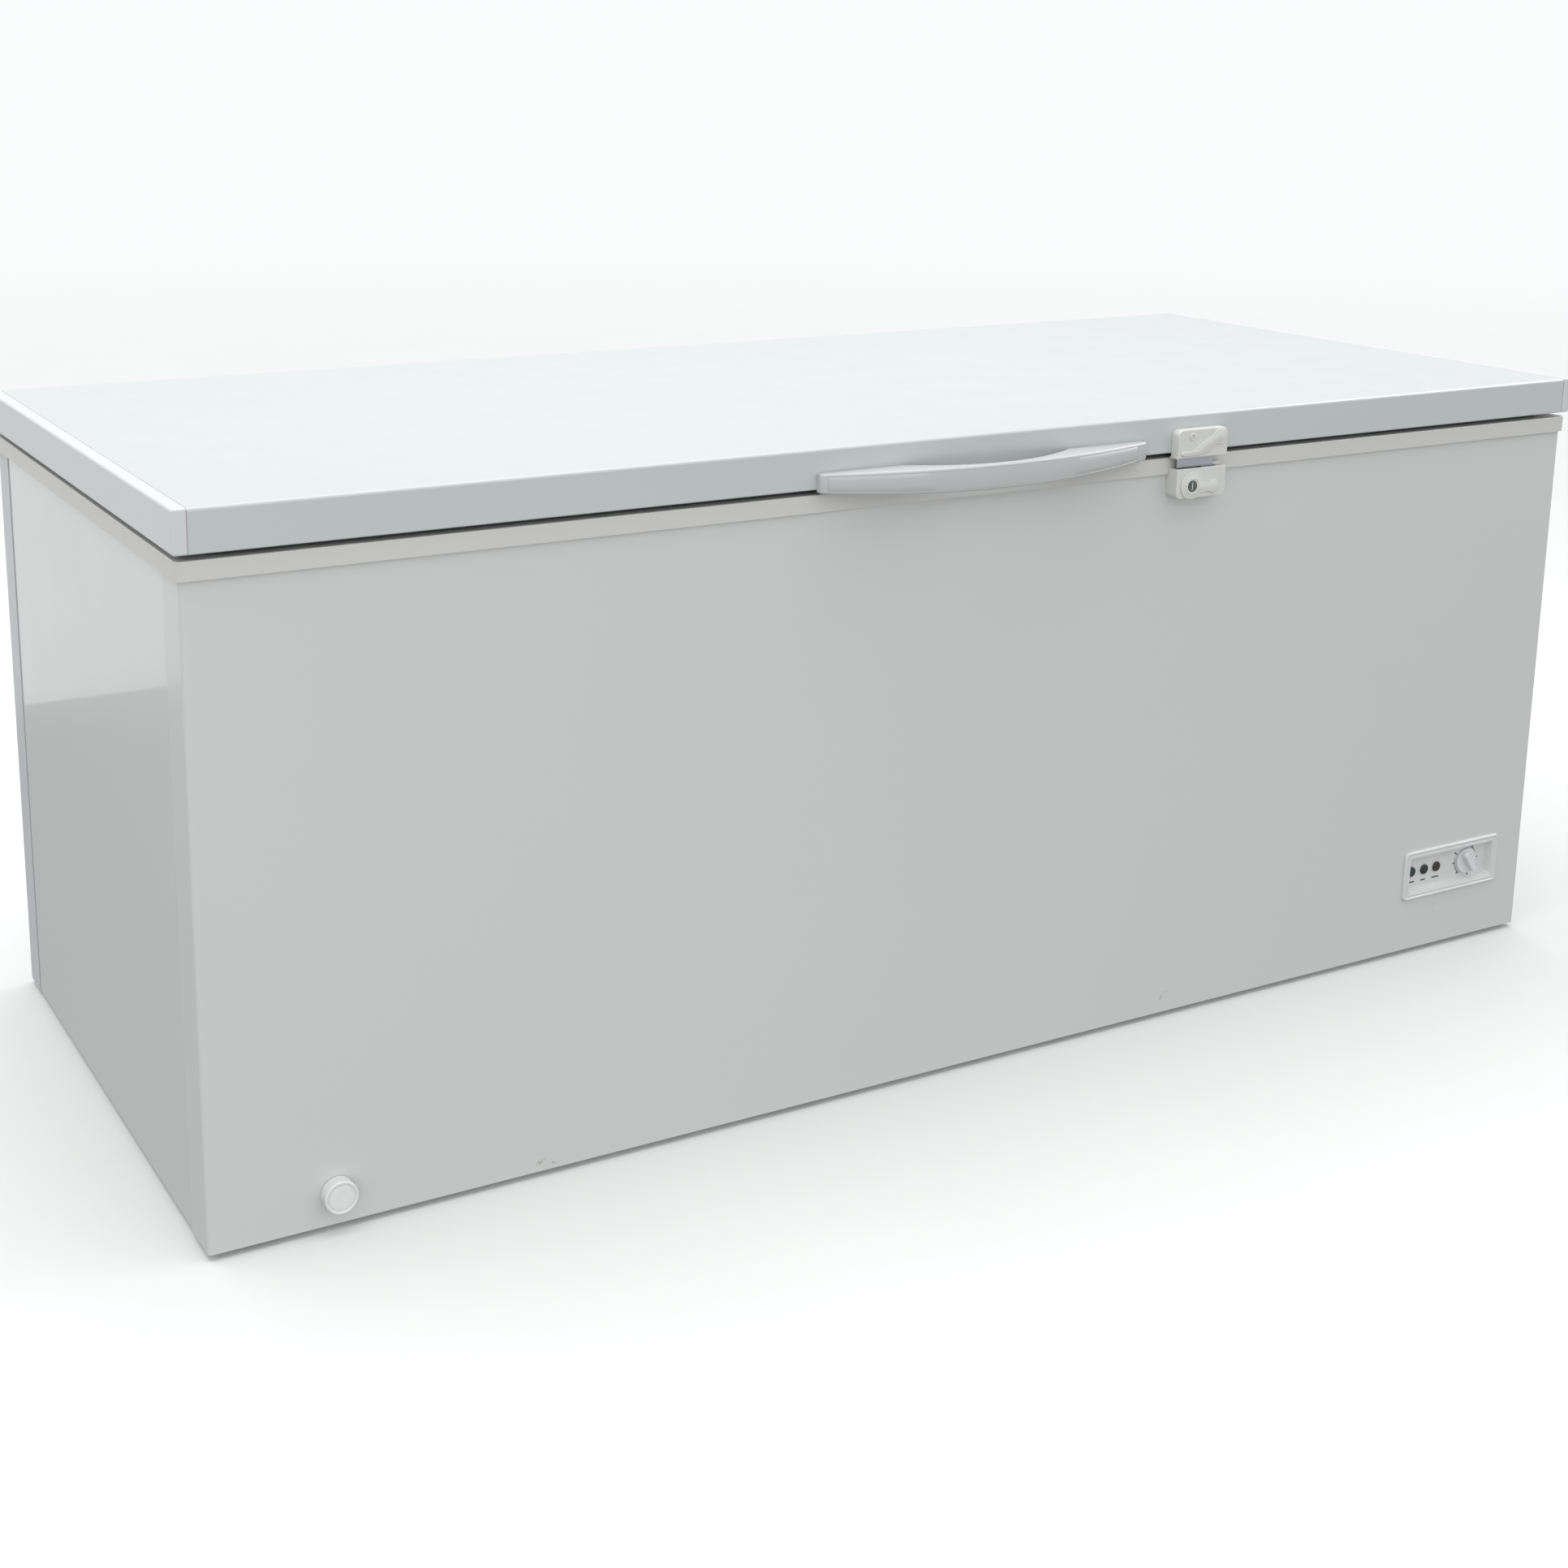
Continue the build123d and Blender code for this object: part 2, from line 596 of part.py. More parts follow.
def discharge_pipe():
    x, y, z = DISCHARGE_PORT
    end = condenser.ports()[0]
    start_y = y + STUB_LENGTH
    points = [(x, start_y, z), (x, start_y + 34, z), (x, start_y + 34, z + 70)]
    points += [(end[0], end[1], PORT_Z - 60), (end[0], end[1], PORT_Z)]
    return tube(points, PIPE_RADIUS, [14, 16, 16])


def filter_drier():
    mid = (DRIER_Z0 + DRIER_Z1) / 2
    half = (DRIER_Z1 - DRIER_Z0) / 2
    profile = make_face(
        Polyline(
            (0, -half), (PIPE_RADIUS + 0.5, -half), (PIPE_RADIUS + 0.5, -half + 12), (10, -half + 22),
            (10, half - 22), (PIPE_RADIUS + 0.5, half - 12), (PIPE_RADIUS + 0.5, half), (0, half), (0, -half),
        )
    )
    return Pos(DRIER_X, DRIER_Y, mid) * revolve(Plane.XZ * profile, Axis.Z)


def liquid_pipe():
    end = condenser.ports()[1]
    points = [(end[0], end[1], PORT_Z), (end[0], end[1], PORT_Z - 36)]
    points += [(DRIER_X, DRIER_Y, DRIER_Z1 + 30), (DRIER_X, DRIER_Y, DRIER_Z1)]
    return tube(points, PIPE_RADIUS, [10, 10])


def capillary_tube():
    end = evaporator.ports()[0]
    points = [(DRIER_X, DRIER_Y, DRIER_Z0), (DRIER_X, DRIER_Y, DRIER_Z0 - 30)]
    points.append((DRIER_X - 120, DRIER_Y - 20, DRIER_Z0 - 40))
    points += [(end[0], end[1], PORT_Z - 90), (end[0], end[1], PORT_Z)]
    return tube(points, 1.2, [10, 20, 20])


def suction_pipe():
    x, y, z = SUCTION_PORT
    end = evaporator.ports()[1]
    start_y = y + STUB_LENGTH
    points = [(x, start_y, z), (x, start_y + 26, z), (x, start_y + 26, z + 50)]
    points += [(end[0], end[1], PORT_Z - 30), (end[0], end[1], PORT_Z)]
    return tube(points, PIPE_RADIUS + 0.6, [12, 12, 12])


# ---------------------------------------------------------------- control panel
BEZEL_FRONT = Y_FRONT - BEZEL_PROUD
BEZEL_FLOOR = BEZEL_FRONT + BEZEL_DEPTH
BEZEL_FRAME = 11.0
BEZEL_PLATE = 2.5
SHAFT_RADIUS = 3.0


def control_bezel():
    """Raised frame with sloped walls down to a recessed plate."""
    centre = Pos(BEZEL_CENTRE_X, BEZEL_FRONT, BEZEL_CENTRE_Z)
    facing = centre * Rot(-90, 0, 0)
    flange = facing * extrude(RectangleRounded(BEZEL_WIDTH, BEZEL_HEIGHT, 8), amount=BEZEL_PROUD - 0.1)
    flange = fillet(flange.faces().sort_by(Axis.Y)[0].edges(), 1.2)
    back = BEZEL_DEPTH + BEZEL_PLATE
    body = facing * extrude(RectangleRounded(BEZEL_WIDTH - 12, BEZEL_HEIGHT - 12, 5), amount=back)
    mouth_w = BEZEL_WIDTH - 2 * BEZEL_FRAME
    mouth_h = BEZEL_HEIGHT - 2 * BEZEL_FRAME
    slope = 4.0
    mouth = loft(
        [
            facing * Pos(0, 0, -0.5) * RectangleRounded(mouth_w + 0.4, mouth_h + 0.4, 4),
            facing * Pos(0, 0, BEZEL_DEPTH) * RectangleRounded(mouth_w - 2 * slope, mouth_h - 2 * slope, 3),
        ]
    )
    bezel = flange + body - mouth
    for x in LAMP_X.values():
        bezel -= hole_y(x, BEZEL_FLOOR - 1, BEZEL_FLOOR + 5, LAMP_Z, LAMP_RADIUS - 1.2)
    return bezel - hole_y(KNOB_X, BEZEL_FLOOR - 1, BEZEL_FLOOR + 5, KNOB_Z, SHAFT_RADIUS + 0.4)


def lamp_lens(x):
    """Lens with a shallow crown and a barrel through the bezel's plate."""
    crown = rod_y(x, BEZEL_FLOOR - 3.0, BEZEL_FLOOR - 0.05, LAMP_Z, LAMP_RADIUS)
    crown = fillet(crown.edges().filter_by(GeomType.CIRCLE).sort_by(Axis.Y)[0], 1.6)
    return crown + rod_y(x, BEZEL_FLOOR - 1, BEZEL_FLOOR + 16, LAMP_Z, LAMP_RADIUS - 1.3)


KNOB_TILT = 36.0
KNOB_GRIP_WIDTH = 8.0
KNOB_GRIP_PROUD = 12.0


def thermostat_knob():
    """Disc with a raised bar grip and a spigot into the thermostat."""
    disc_back = BEZEL_FLOOR - 0.5
    disc = rod_y(KNOB_X, disc_back - 4.0, disc_back, KNOB_Z, KNOB_RADIUS)
    disc = fillet(disc.edges().filter_by(GeomType.CIRCLE).sort_by(Axis.Y)[0], 1.0)
    grip_half = KNOB_RADIUS - 0.8
    grip = block(
        -KNOB_GRIP_WIDTH / 2,
        KNOB_GRIP_WIDTH / 2,
        disc_back - KNOB_GRIP_PROUD,
        disc_back - 1,
        -grip_half,
        grip_half,
    )
    grip = fillet(grip.edges().filter_by(Axis.Y), 3.2)
    grip = fillet(grip.faces().sort_by(Axis.Y)[0].edges(), 1.2)
    knob = disc + Pos(KNOB_X, 0, KNOB_Z) * Rot(0, -KNOB_TILT, 0) * grip
    return knob + rod_y(KNOB_X, disc_back - 1, BEZEL_FLOOR + BEZEL_PLATE + 14, KNOB_Z, SHAFT_RADIUS)


def thermostat():
    """Switch body behind the bezel, with a bore that the knob's spigot turns in."""
    y0 = BEZEL_FLOOR + BEZEL_PLATE + 0.2
    body = block(KNOB_X - 22, KNOB_X + 22, y0, y0 + 30, KNOB_Z - 20, KNOB_Z + 20)
    body = fillet(body.edges().filter_by(Axis.Y), 3)
    body += block(KNOB_X - 18, KNOB_X - 12, y0 + 29, y0 + 40, KNOB_Z - 12, KNOB_Z - 11)
    body += block(KNOB_X + 12, KNOB_X + 18, y0 + 29, y0 + 40, KNOB_Z - 12, KNOB_Z - 11)
    return body - hole_y(KNOB_X, y0 - 1, y0 + 16, KNOB_Z, SHAFT_RADIUS + 0.06)


# ---------------------------------------------------------------- lock
HOUSING_BOTTOM = 737.0
HOUSING_TOP = 776.0
STRIKE_BOTTOM = 790.0
STRIKE_TOP = 827.0
CYLINDER_RADIUS = 8.0
CYLINDER_PROUD = 2.4
CAM_LENGTH = 20.0
CAM_HALF_WIDTH = 3.0


def lock_housing():
    """Open-topped cover on the cabinet, notched at the back over the rim."""
    front = Y_FRONT - LOCK_FRONT
    housing = block(LOCK_LEFT, LOCK_RIGHT, front, Y_FRONT - 0.1, HOUSING_BOTTOM, HOUSING_TOP)
    lower = housing.edges().filter_by(Axis.Y).group_by(Axis.Z)[0]
    housing = fillet(lower, 8)
    housing = fillet(housing.faces().sort_by(Axis.Y)[0].edges(), 1.0)
    housing += block(
        LOCK_RIGHT - 13, LOCK_RIGHT - 0.5, Y_FRONT - 9, Y_FRONT - 4.3, HOUSING_TOP - 1, HOUSING_TOP + 4
    )
    housing -= block(
        LOCK_LEFT - 1, LOCK_RIGHT + 1, Y_FRONT - RIM_OVERHANG - 0.2, Y_FRONT, RIM_BOTTOM - 0.4, HEIGHT
    )
    pocket = block(
        LOCK_LEFT + LOCK_WALL,
        LOCK_RIGHT - LOCK_WALL - 11,
        front + LOCK_WALL,
        Y_FRONT - RIM_OVERHANG - 2.2,
        HOUSING_BOTTOM + LOCK_WALL,
        HOUSING_TOP + 10,
    )
    housing -= pocket
    return housing - hole_y(KEY_X, front - 1, Y_FRONT + 1, KEY_Z, CYLINDER_RADIUS + 0.06)


def lock_cylinder():
    """Barrel with a keyway in its face."""
    face = Y_FRONT - LOCK_FRONT - CYLINDER_PROUD
    barrel = rod_y(KEY_X, face, Y_FRONT + 8, KEY_Z, CYLINDER_RADIUS)
    return barrel - block(KEY_X - 0.8, KEY_X + 0.8, face - 1, face + 12, KEY_Z - 4, KEY_Z + 4)


def lock_cam():
    """Arm on the barrel that swings under the tongue's hook; at rest it points up, unlocked."""
    y0 = TONGUE_Y - TONGUE_SHEET / 2
    y1 = TONGUE_Y + TONGUE_SHEET / 2
    hub = rod_y(KEY_X, y0, y1, KEY_Z, CYLINDER_RADIUS + 2.5)
    arm = block(KEY_X - CAM_HALF_WIDTH, KEY_X + CAM_HALF_WIDTH, y0, y1, KEY_Z, KEY_Z + CAM_LENGTH)
    return hub + arm - rod_y(KEY_X, y0 - 1, y1 + 1, KEY_Z, CYLINDER_RADIUS)


def lock_tongue():
    """J-shaped steel plate that hangs from the lid into the lock housing."""
    x0 = LOCK_LEFT + 6
    x1 = LOCK_RIGHT - 16
    leg_x = KEY_X + CAM_LENGTH + 1.5
    lip_top = KEY_Z - CAM_HALF_WIDTH - 0.6
    lip_bottom = lip_top - 5.5
    y0 = TONGUE_Y - TONGUE_SHEET / 2
    y1 = TONGUE_Y + TONGUE_SHEET / 2
    web_top = STRIKE_TOP - 10
    plate = block(x0, x1, y0, y1, HOUSING_TOP + 0.6, web_top)
    leg = block(leg_x, x1, y0, y1, lip_bottom, HOUSING_TOP + 1)
    lip = block(leg_x - 8, x1, y0, y1, lip_bottom, lip_top)
    web = block(x0, x1, y0, LID_FRONT - 0.1, web_top - TONGUE_SHEET, web_top)
    foot = block(x0, x1, LID_FRONT - 0.1 - TONGUE_SHEET, LID_FRONT - 0.1, web_top - 1, web_top + 6)
    return plate + leg + lip + web + foot


def lock_strike():
    """Cover over the tongue on the front of the lid."""
    front = Y_FRONT - LOCK_FRONT
    back = LID_FRONT - 0.1
    cover = block(LOCK_LEFT, LOCK_RIGHT, front, back, STRIKE_BOTTOM, STRIKE_TOP)
    upper = cover.edges().filter_by(Axis.Y).group_by(Axis.Z)[-1]
    cover = fillet(upper, 8)
    cover = fillet(cover.faces().sort_by(Axis.Y)[0].edges(), 1.0)
    cover += block(LOCK_LEFT - 2.2, LOCK_LEFT + 2, front + 0.2, back, STRIKE_BOTTOM, STRIKE_BOTTOM + 1.6)
    hollow = block(
        LOCK_LEFT + LOCK_WALL,
        LOCK_RIGHT - LOCK_WALL,
        front + LOCK_WALL,
        back + 1,
        STRIKE_BOTTOM - 1,
        STRIKE_TOP - LOCK_WALL,
    )
    return cover - hollow


# ---------------------------------------------------------------- lid
SKIN_LIP = 15.0
PANEL_Z = LID_BOTTOM + SHEET + 0.2
PANEL_SHEET = 1.5
PLUG_INSET_X = 117.0
PLUG_INSET_Y = 110.0
PLUG_BOTTOM = 784.0
GASKET_INSET = 21.0
GASKET_WIDTH = 16.0
GASKET_RADIUS = 22.0
FOAM_HALF_W = SKIN_HALF_W - 12.0


def lid_skin():
    """Painted sheet folded down at the front and back, open at its ends."""
    outer = block(-SKIN_HALF_W, SKIN_HALF_W, LID_FRONT, LID_BACK, LID_BOTTOM, HEIGHT)
    edges = outer.edges().filter_by(Axis.X).group_by(Axis.Z)
    outer = fillet(edges[-1], 4.0)
    outer = fillet(outer.edges().filter_by(Axis.X).group_by(Axis.Z)[0], 1.6)
    x = SKIN_HALF_W + 1
    inner = block(-x, x, LID_FRONT + SHEET, LID_BACK - SHEET, LID_BOTTOM + SHEET, HEIGHT - SHEET)
    inner = fillet(inner.edges().filter_by(Axis.X).group_by(Axis.Z)[-1], 3.0)
    mouth = block(-x, x, LID_FRONT + SKIN_LIP, LID_BACK - SKIN_LIP, LID_BOTTOM - 1, LID_BOTTOM + 5)
    skin = outer - inner - mouth
    for x, z in HANDLE_SCREWS:
        skin -= hole_y(x, LID_FRONT - 1, LID_FRONT + 2, z, 2.2)
    for x, z in LEAF_SCREWS:
        skin -= hole_y(x, LID_BACK - 2, LID_BACK + 1, z, 2.2)
    return skin


def lid_end_cap(side):
    """Moulded cap that closes one end of the lid, with a spigot inside the skin."""
    x_in = SKIN_HALF_W + 0.2
    cap = block(x_in, LID_HALF_W, LID_FRONT - 0.2, LID_BACK + 0.2, LID_BOTTOM - 0.1, HEIGHT)
    cap = fillet(cap.faces().sort_by(Axis.X)[-1].edges(), 3.0)
    cap = fillet(cap.edges().filter_by(Axis.X), 2.5)
    spigot = block(x_in - 10, x_in + 1, LID_FRONT + 1.4, LID_BACK - 1.4, PANEL_Z + 1.8, HEIGHT - 1.4)
    spigot = fillet(spigot.edges().filter_by(Axis.X), 3.0)
    hollow = block(x_in - 11, LID_HALF_W - 3, LID_FRONT + 3.4, LID_BACK - 3.4, PANEL_Z + 3.8, HEIGHT - 3.4)
    cap = cap + spigot - hollow
    return cap if side > 0 else mirror(cap, about=Plane.YZ)


def lid_inner_panel():
    """Moulded sheet under the lid with a shallow raised field."""
    y0 = LID_FRONT + SHEET + 0.3
    y1 = LID_BACK - SHEET - 0.3
    sheet = block(-FOAM_HALF_W, FOAM_HALF_W, y0, y1, PANEL_Z, PANEL_Z + PANEL_SHEET)
    field_x = HALF_W - PLUG_INSET_X
    field_y0 = Y_FRONT + PLUG_INSET_Y
    field_y1 = Y_BACK - PLUG_INSET_Y
    field = rounded_block(field_x, field_y0, field_y1, PLUG_BOTTOM, PANEL_Z + 0.5, 20)
    field = fillet(field.faces().sort_by(Axis.Z)[0].edges(), 2.0)
    sheet_in = PANEL_SHEET
    inside = rounded_block(
        field_x - sheet_in, field_y0 + sheet_in, field_y1 - sheet_in, PLUG_BOTTOM + sheet_in, HEIGHT, 18
    )
    return sheet + field - inside


def lid_foam():
    y0 = LID_FRONT + SHEET + 0.3
    y1 = LID_BACK - SHEET - 0.3
    foam = block(-FOAM_HALF_W, FOAM_HALF_W, y0, y1, PANEL_Z + PANEL_SHEET + 0.2, HEIGHT - SHEET - 0.2)
    foam = fillet(foam.edges().filter_by(Axis.X).group_by(Axis.Z)[-1], 3.0)
    inset = PANEL_SHEET + 0.2
    foam += rounded_block(
        HALF_W - PLUG_INSET_X - inset,
        Y_FRONT + PLUG_INSET_Y + inset,
        Y_BACK - PLUG_INSET_Y - inset,
        PLUG_BOTTOM + inset,
        PANEL_Z + PANEL_SHEET + 2,
        18.4,
    )
    for x, z in HANDLE_SCREWS:
        foam -= hole_y(x, y0 - 1, y0 + 4, z, 5.0)
    for x, z in LEAF_SCREWS:
        foam -= hole_y(x, y1 - 14, y1 + 1, z, 2.1)
    return foam


def lid_gasket():
    """Soft seal all round the lid's underside."""
    top = PANEL_Z - 0.02
    half_x = LID_HALF_W - GASKET_INSET - 10
    y0 = LID_FRONT + GASKET_INSET
    y1 = LID_BACK - GASKET_INSET - 2
    wide = GASKET_WIDTH
    outer = rounded_block(half_x, y0, y1, RIM_TOP + 0.3, top, GASKET_RADIUS)
    inner = rounded_block(half_x - wide, y0 + wide, y1 - wide, RIM_TOP - 5, top + 5, GASKET_RADIUS - wide)
    gasket = outer - inner
    low = gasket.faces().sort_by(Axis.Z)[0].edges()
    return fillet(low, 2.0)


HANDLE_END_DEPTH = 10.0
HANDLE_THICKNESS = 10.5
FINGER_HALF = 126.5


def handle():
    """Bow handle, deepest in the middle, with a lens-shaped finger opening behind it."""
    half = HANDLE_LENGTH / 2
    back = LID_FRONT - 0.1
    tip = Y_FRONT - HANDLE_REACH
    end = back - HANDLE_END_DEPTH
    outline = Polyline((-half, end), (-half, back), (half, back), (half, end))
    outer = make_face(outline + ThreePointArc((half, end), (0, tip), (-half, end)))
    gap = FINGER_HALF
    mouth = Polyline((-gap, back), (-gap, back + 5), (gap, back + 5), (gap, back))
    inner_arc = ThreePointArc((gap, back), (0, tip + HANDLE_THICKNESS), (-gap, back))
    opening = make_face(mouth + inner_arc)
    section = outer - opening
    bow = Pos(0, 0, HANDLE_BOTTOM) * extrude(section, amount=HANDLE_TOP - HANDLE_BOTTOM)
    low = HANDLE_END_BOTTOM
    belly = ThreePointArc((-half, low), (0, HANDLE_BOTTOM), (half, low))
    ends = Polyline((half, low), (half, HANDLE_TOP), (-half, HANDLE_TOP), (-half, low))
    bow &= extrude(Plane.XZ * make_face(belly + ends), amount=-2 * Y_FRONT, dir=(0, -1, 0))
    bow = Pos(HANDLE_CENTRE_X, 0, 0) * bow
    front_face = bow.faces().filter_by(GeomType.CYLINDER).sort_by(Axis.Y)[0]
    bow = fillet(front_face.edges(), 1.6)
    for x, z in HANDLE_SCREWS:
        bow -= hole_y(x, back - 12, back + 1, z, 2.0)
    return bow


def handle_screws():
    return [screw_y(x, LID_FRONT + SHEET, z, -1, 12.5) for x, z in HANDLE_SCREWS]


# ---------------------------------------------------------------- hinges
EAR_HALF = 29.0
EAR_SHEET = 3.0
LEAF_HALF = 24.0
BRACKET_BOTTOM = 640.0
BRACKET_TOP = 762.0
LEAF_BOTTOM = 803.0
LEAF_TOP = 836.0


def hinge_bracket(side):
    """Channel screwed to the back of the cabinet, with two ears that hold the pin."""
    cx = side * HINGE_X
    y0 = Y_BACK + 0.2
    x_out = EAR_HALF + EAR_SHEET
    plate = block(cx - x_out, cx + x_out, y0, y0 + 2.5, BRACKET_BOTTOM, BRACKET_TOP)
    bracket = plate
    for ear_side in (-1, 1):
        x0, x1 = sorted((cx + ear_side * EAR_HALF, cx + ear_side * x_out))
        profile = make_hull(
            [
                *(Pos(HINGE_Y, HINGE_AXIS_Z) * Circle(EAR_RADIUS)).edges(),
                *(Pos(Y_BACK + 9, 720) * Circle(5)).edges(),
            ]
        )
        ear = Pos(x0, 0, 0) * extrude(Plane.YZ * profile, amount=x1 - x0)
        ear += block(x0, x1, y0, Y_BACK + 14, BRACKET_BOTTOM, BRACKET_TOP - 20)
        ear -= block(x0 - 1, x1 + 1, 0, Y_BACK + RIM_OVERHANG + 0.5, BRACKET_TOP, HEIGHT)
        bracket += ear
    bracket -= rod_x(cx - 60, cx + 60, HINGE_Y, HINGE_AXIS_Z, HINGE_PIN_RADIUS + 0.02)
    for x, z in BRACKET_SCREWS:
        bracket -= hole_y(x, y0 - 1, y0 + 4, z, 2.2)
    return bracket


def hinge_pin(side):
    cx = side * HINGE_X
    half = EAR_HALF + EAR_SHEET
    pin = rod_x(cx - half - 1.5, cx + half + 1.5, HINGE_Y, HINGE_AXIS_Z, HINGE_PIN_RADIUS)
    for head_side in (-1, 1):
        x0, x1 = sorted((cx + head_side * (half + 0.2), cx + head_side * (half + 2.6)))
        pin += rod_x(x0, x1, HINGE_Y, HINGE_AXIS_Z, HINGE_PIN_RADIUS + 2)
    return pin


SPRING_COILS = 8
SPRING_WIRE = 1.25


def hinge_spring(side):
    """Torsion spring on the pin, as close-wound turns with a leg at each end."""
    cx = side * HINGE_X
    inner = HINGE_PIN_RADIUS + 0.5
    pitch = 2 * SPRING_WIRE
    start = cx - SPRING_COILS * SPRING_WIRE
    body = rod_x(start, start + SPRING_COILS * pitch, HINGE_Y, HINGE_AXIS_Z, inner + SPRING_WIRE)
    for i in range(SPRING_COILS):
        body += Pos(start + pitch * (i + 0.5), HINGE_Y, HINGE_AXIS_Z) * Rot(0, 90, 0) * Torus(
            inner + SPRING_WIRE, SPRING_WIRE
        )
    leg_y = HINGE_Y - inner - SPRING_WIRE
    leg_x = start + pitch / 2 + 0.1
    leg = rod_z(leg_x, leg_y, HINGE_AXIS_Z - 40, HINGE_AXIS_Z, SPRING_WIRE - 0.1)
    body -= rod_x(cx - 30, cx + 30, HINGE_Y, HINGE_AXIS_Z, inner)
    return body + leg - rod_x(cx - 30, cx + 30, HINGE_Y, HINGE_AXIS_Z, inner - 0.05)


def hinge_leaf(side):
    """Plate on the back of the lid with two knuckles round the pin."""
    cx = side * HINGE_X
    y0 = LID_BACK + 0.3
    plate = block(cx - LEAF_HALF, cx + LEAF_HALF, y0, y0 + 2.5, LEAF_BOTTOM - 4, LEAF_TOP)
    plate = fillet(plate.edges().filter_by(Axis.Y), 2)
    leaf = plate
    for knuckle_side in (-1, 1):
        x0, x1 = sorted((cx + knuckle_side * 12.0, cx + knuckle_side * LEAF_HALF))
        profile = make_hull(
            [
                *(Pos(HINGE_Y, HINGE_AXIS_Z) * Circle(KNUCKLE_RADIUS)).edges(),
                *(Pos(y0 + 1.25, LEAF_BOTTOM) * Circle(1.25)).edges(),
            ]
        )
        leaf += Pos(x0, 0, 0) * extrude(Plane.YZ * profile, amount=x1 - x0)
    leaf -= rod_x(cx - 60, cx + 60, HINGE_Y, HINGE_AXIS_Z, HINGE_PIN_RADIUS + 0.05)
    for x, z in LEAF_SCREWS:
        leaf -= hole_y(x, y0 - 1, y0 + 4, z, 2.2)
    return leaf


def hinge_bracket_screws():
    return [screw_y(x, Y_BACK + 2.7, z, -1, 14) for x, z in BRACKET_SCREWS]


def hinge_leaf_screws():
    return [screw_y(x, LID_BACK + 2.8, z, -1, 12) for x, z in LEAF_SCREWS]


# ---------------------------------------------------------------- grille, rear cover, gland
def side_grille():
    """Louvred plastic grille over the machine space's opening."""
    x0 = HALF_W - SIDE_RECESS + 0.1
    x1 = x0 + 2.6
    grille = block(x0, x1, GRILLE_Y0, GRILLE_Y1, GRILLE_Z0, GRILLE_Z1)
    grille = fillet(grille.edges().filter_by(Axis.X), 6)
    slots = 10
    pitch = (GRILLE_Z1 - GRILLE_Z0 - 40) / slots
    for i in range(slots):
        z = GRILLE_Z0 + 20 + pitch * (i + 0.5)
        grille -= block(x0 - 1, x1 + 1, GRILLE_Y0 + 20, GRILLE_Y1 - 20, z - 4, z + 4)
    for y, z in GRILLE_SCREWS:
        grille -= rod_x(x0 - 1, x1 + 1, y, z, 2.2)
    return grille


def grille_screws():
    x0 = HALF_W - SIDE_RECESS + 2.7
    screws = []
    for y, z in GRILLE_SCREWS:
        head = rod_x(x0, x0 + 1.6, y, z, 4.2)
        screws.append(head + rod_x(x0 - 12, x0 + 0.5, y, z, 2.0))
    return screws


def rear_cover():
    """Slotted sheet over the machine space at the back."""
    y0 = Y_BACK + 0.1
    cover = block(COVER_X0, COVER_X1, y0, y0 + 1.2, COVER_Z0, COVER_Z1)
    cover = fillet(cover.edges().filter_by(Axis.Y), 5)
    slots = 11
    pitch = (COVER_Z1 - COVER_Z0 - 50) / slots
    for i in range(slots):
        z = COVER_Z0 + 25 + pitch * (i + 0.5)
        cover -= block(COVER_X0 + 26, COVER_X1 - 26, y0 - 1, y0 + 3, z - 3.5, z + 3.5)
    for x, z in COVER_SCREWS:
        cover -= hole_y(x, y0 - 1, y0 + 3, z, 2.2)
    return cover


def rear_cover_screws():
    return [screw_y(x, Y_BACK + 1.4, z, -1, 12) for x, z in COVER_SCREWS]


def cable_gland():
    """Gland where the supply lead enters; the lead itself is not part of this object."""
    gland = rod_y(GLAND_X, Y_BACK + 0.1, Y_BACK + 9, GLAND_Z, 11.0)
    gland = chamfer(gland.edges().filter_by(GeomType.CIRCLE).sort_by(Axis.Y)[-1], 2.0)
    gland += rod_y(GLAND_X, Y_BACK - 10, Y_BACK + 1, GLAND_Z, 8.0)
    return gland - rod_y(GLAND_X, Y_BACK - 20, Y_BACK + 20, GLAND_Z, 4.0)


# ---------------------------------------------------------------- basket
BASKET_WIRE = 3.0
BASKET_TOP = LEDGE_Z + RIM_WALL + 0.4 + BASKET_WIRE
BASKET_BOTTOM = BASKET_TOP - BASKET_HEIGHT
BASKET_RIGHT = BASKET_LEFT + BASKET_WIDTH
BASKET_Y0 = LINER_FRONT + LINER_SHEET + SKIRT_GAP + RIM_WALL + LEDGE_WIDTH + 4.0
BASKET_Y1 = LINER_BACK - LINER_SHEET - SKIRT_GAP - RIM_WALL - LEDGE_WIDTH - 4.0


def lattice(width, height, columns, rows):
    """Flat grid of bars about the origin, thick as the wire."""
    pitch_x = (width - BASKET_WIRE) / columns
    pitch_y = (height - BASKET_WIRE) / rows
    window = Rectangle(pitch_x - BASKET_WIRE, pitch_y - BASKET_WIRE)
    grid = Rectangle(width, height) - GridLocations(pitch_x, pitch_y, columns, rows) * window
    return extrude(grid, amount=BASKET_WIRE / 2, both=True)


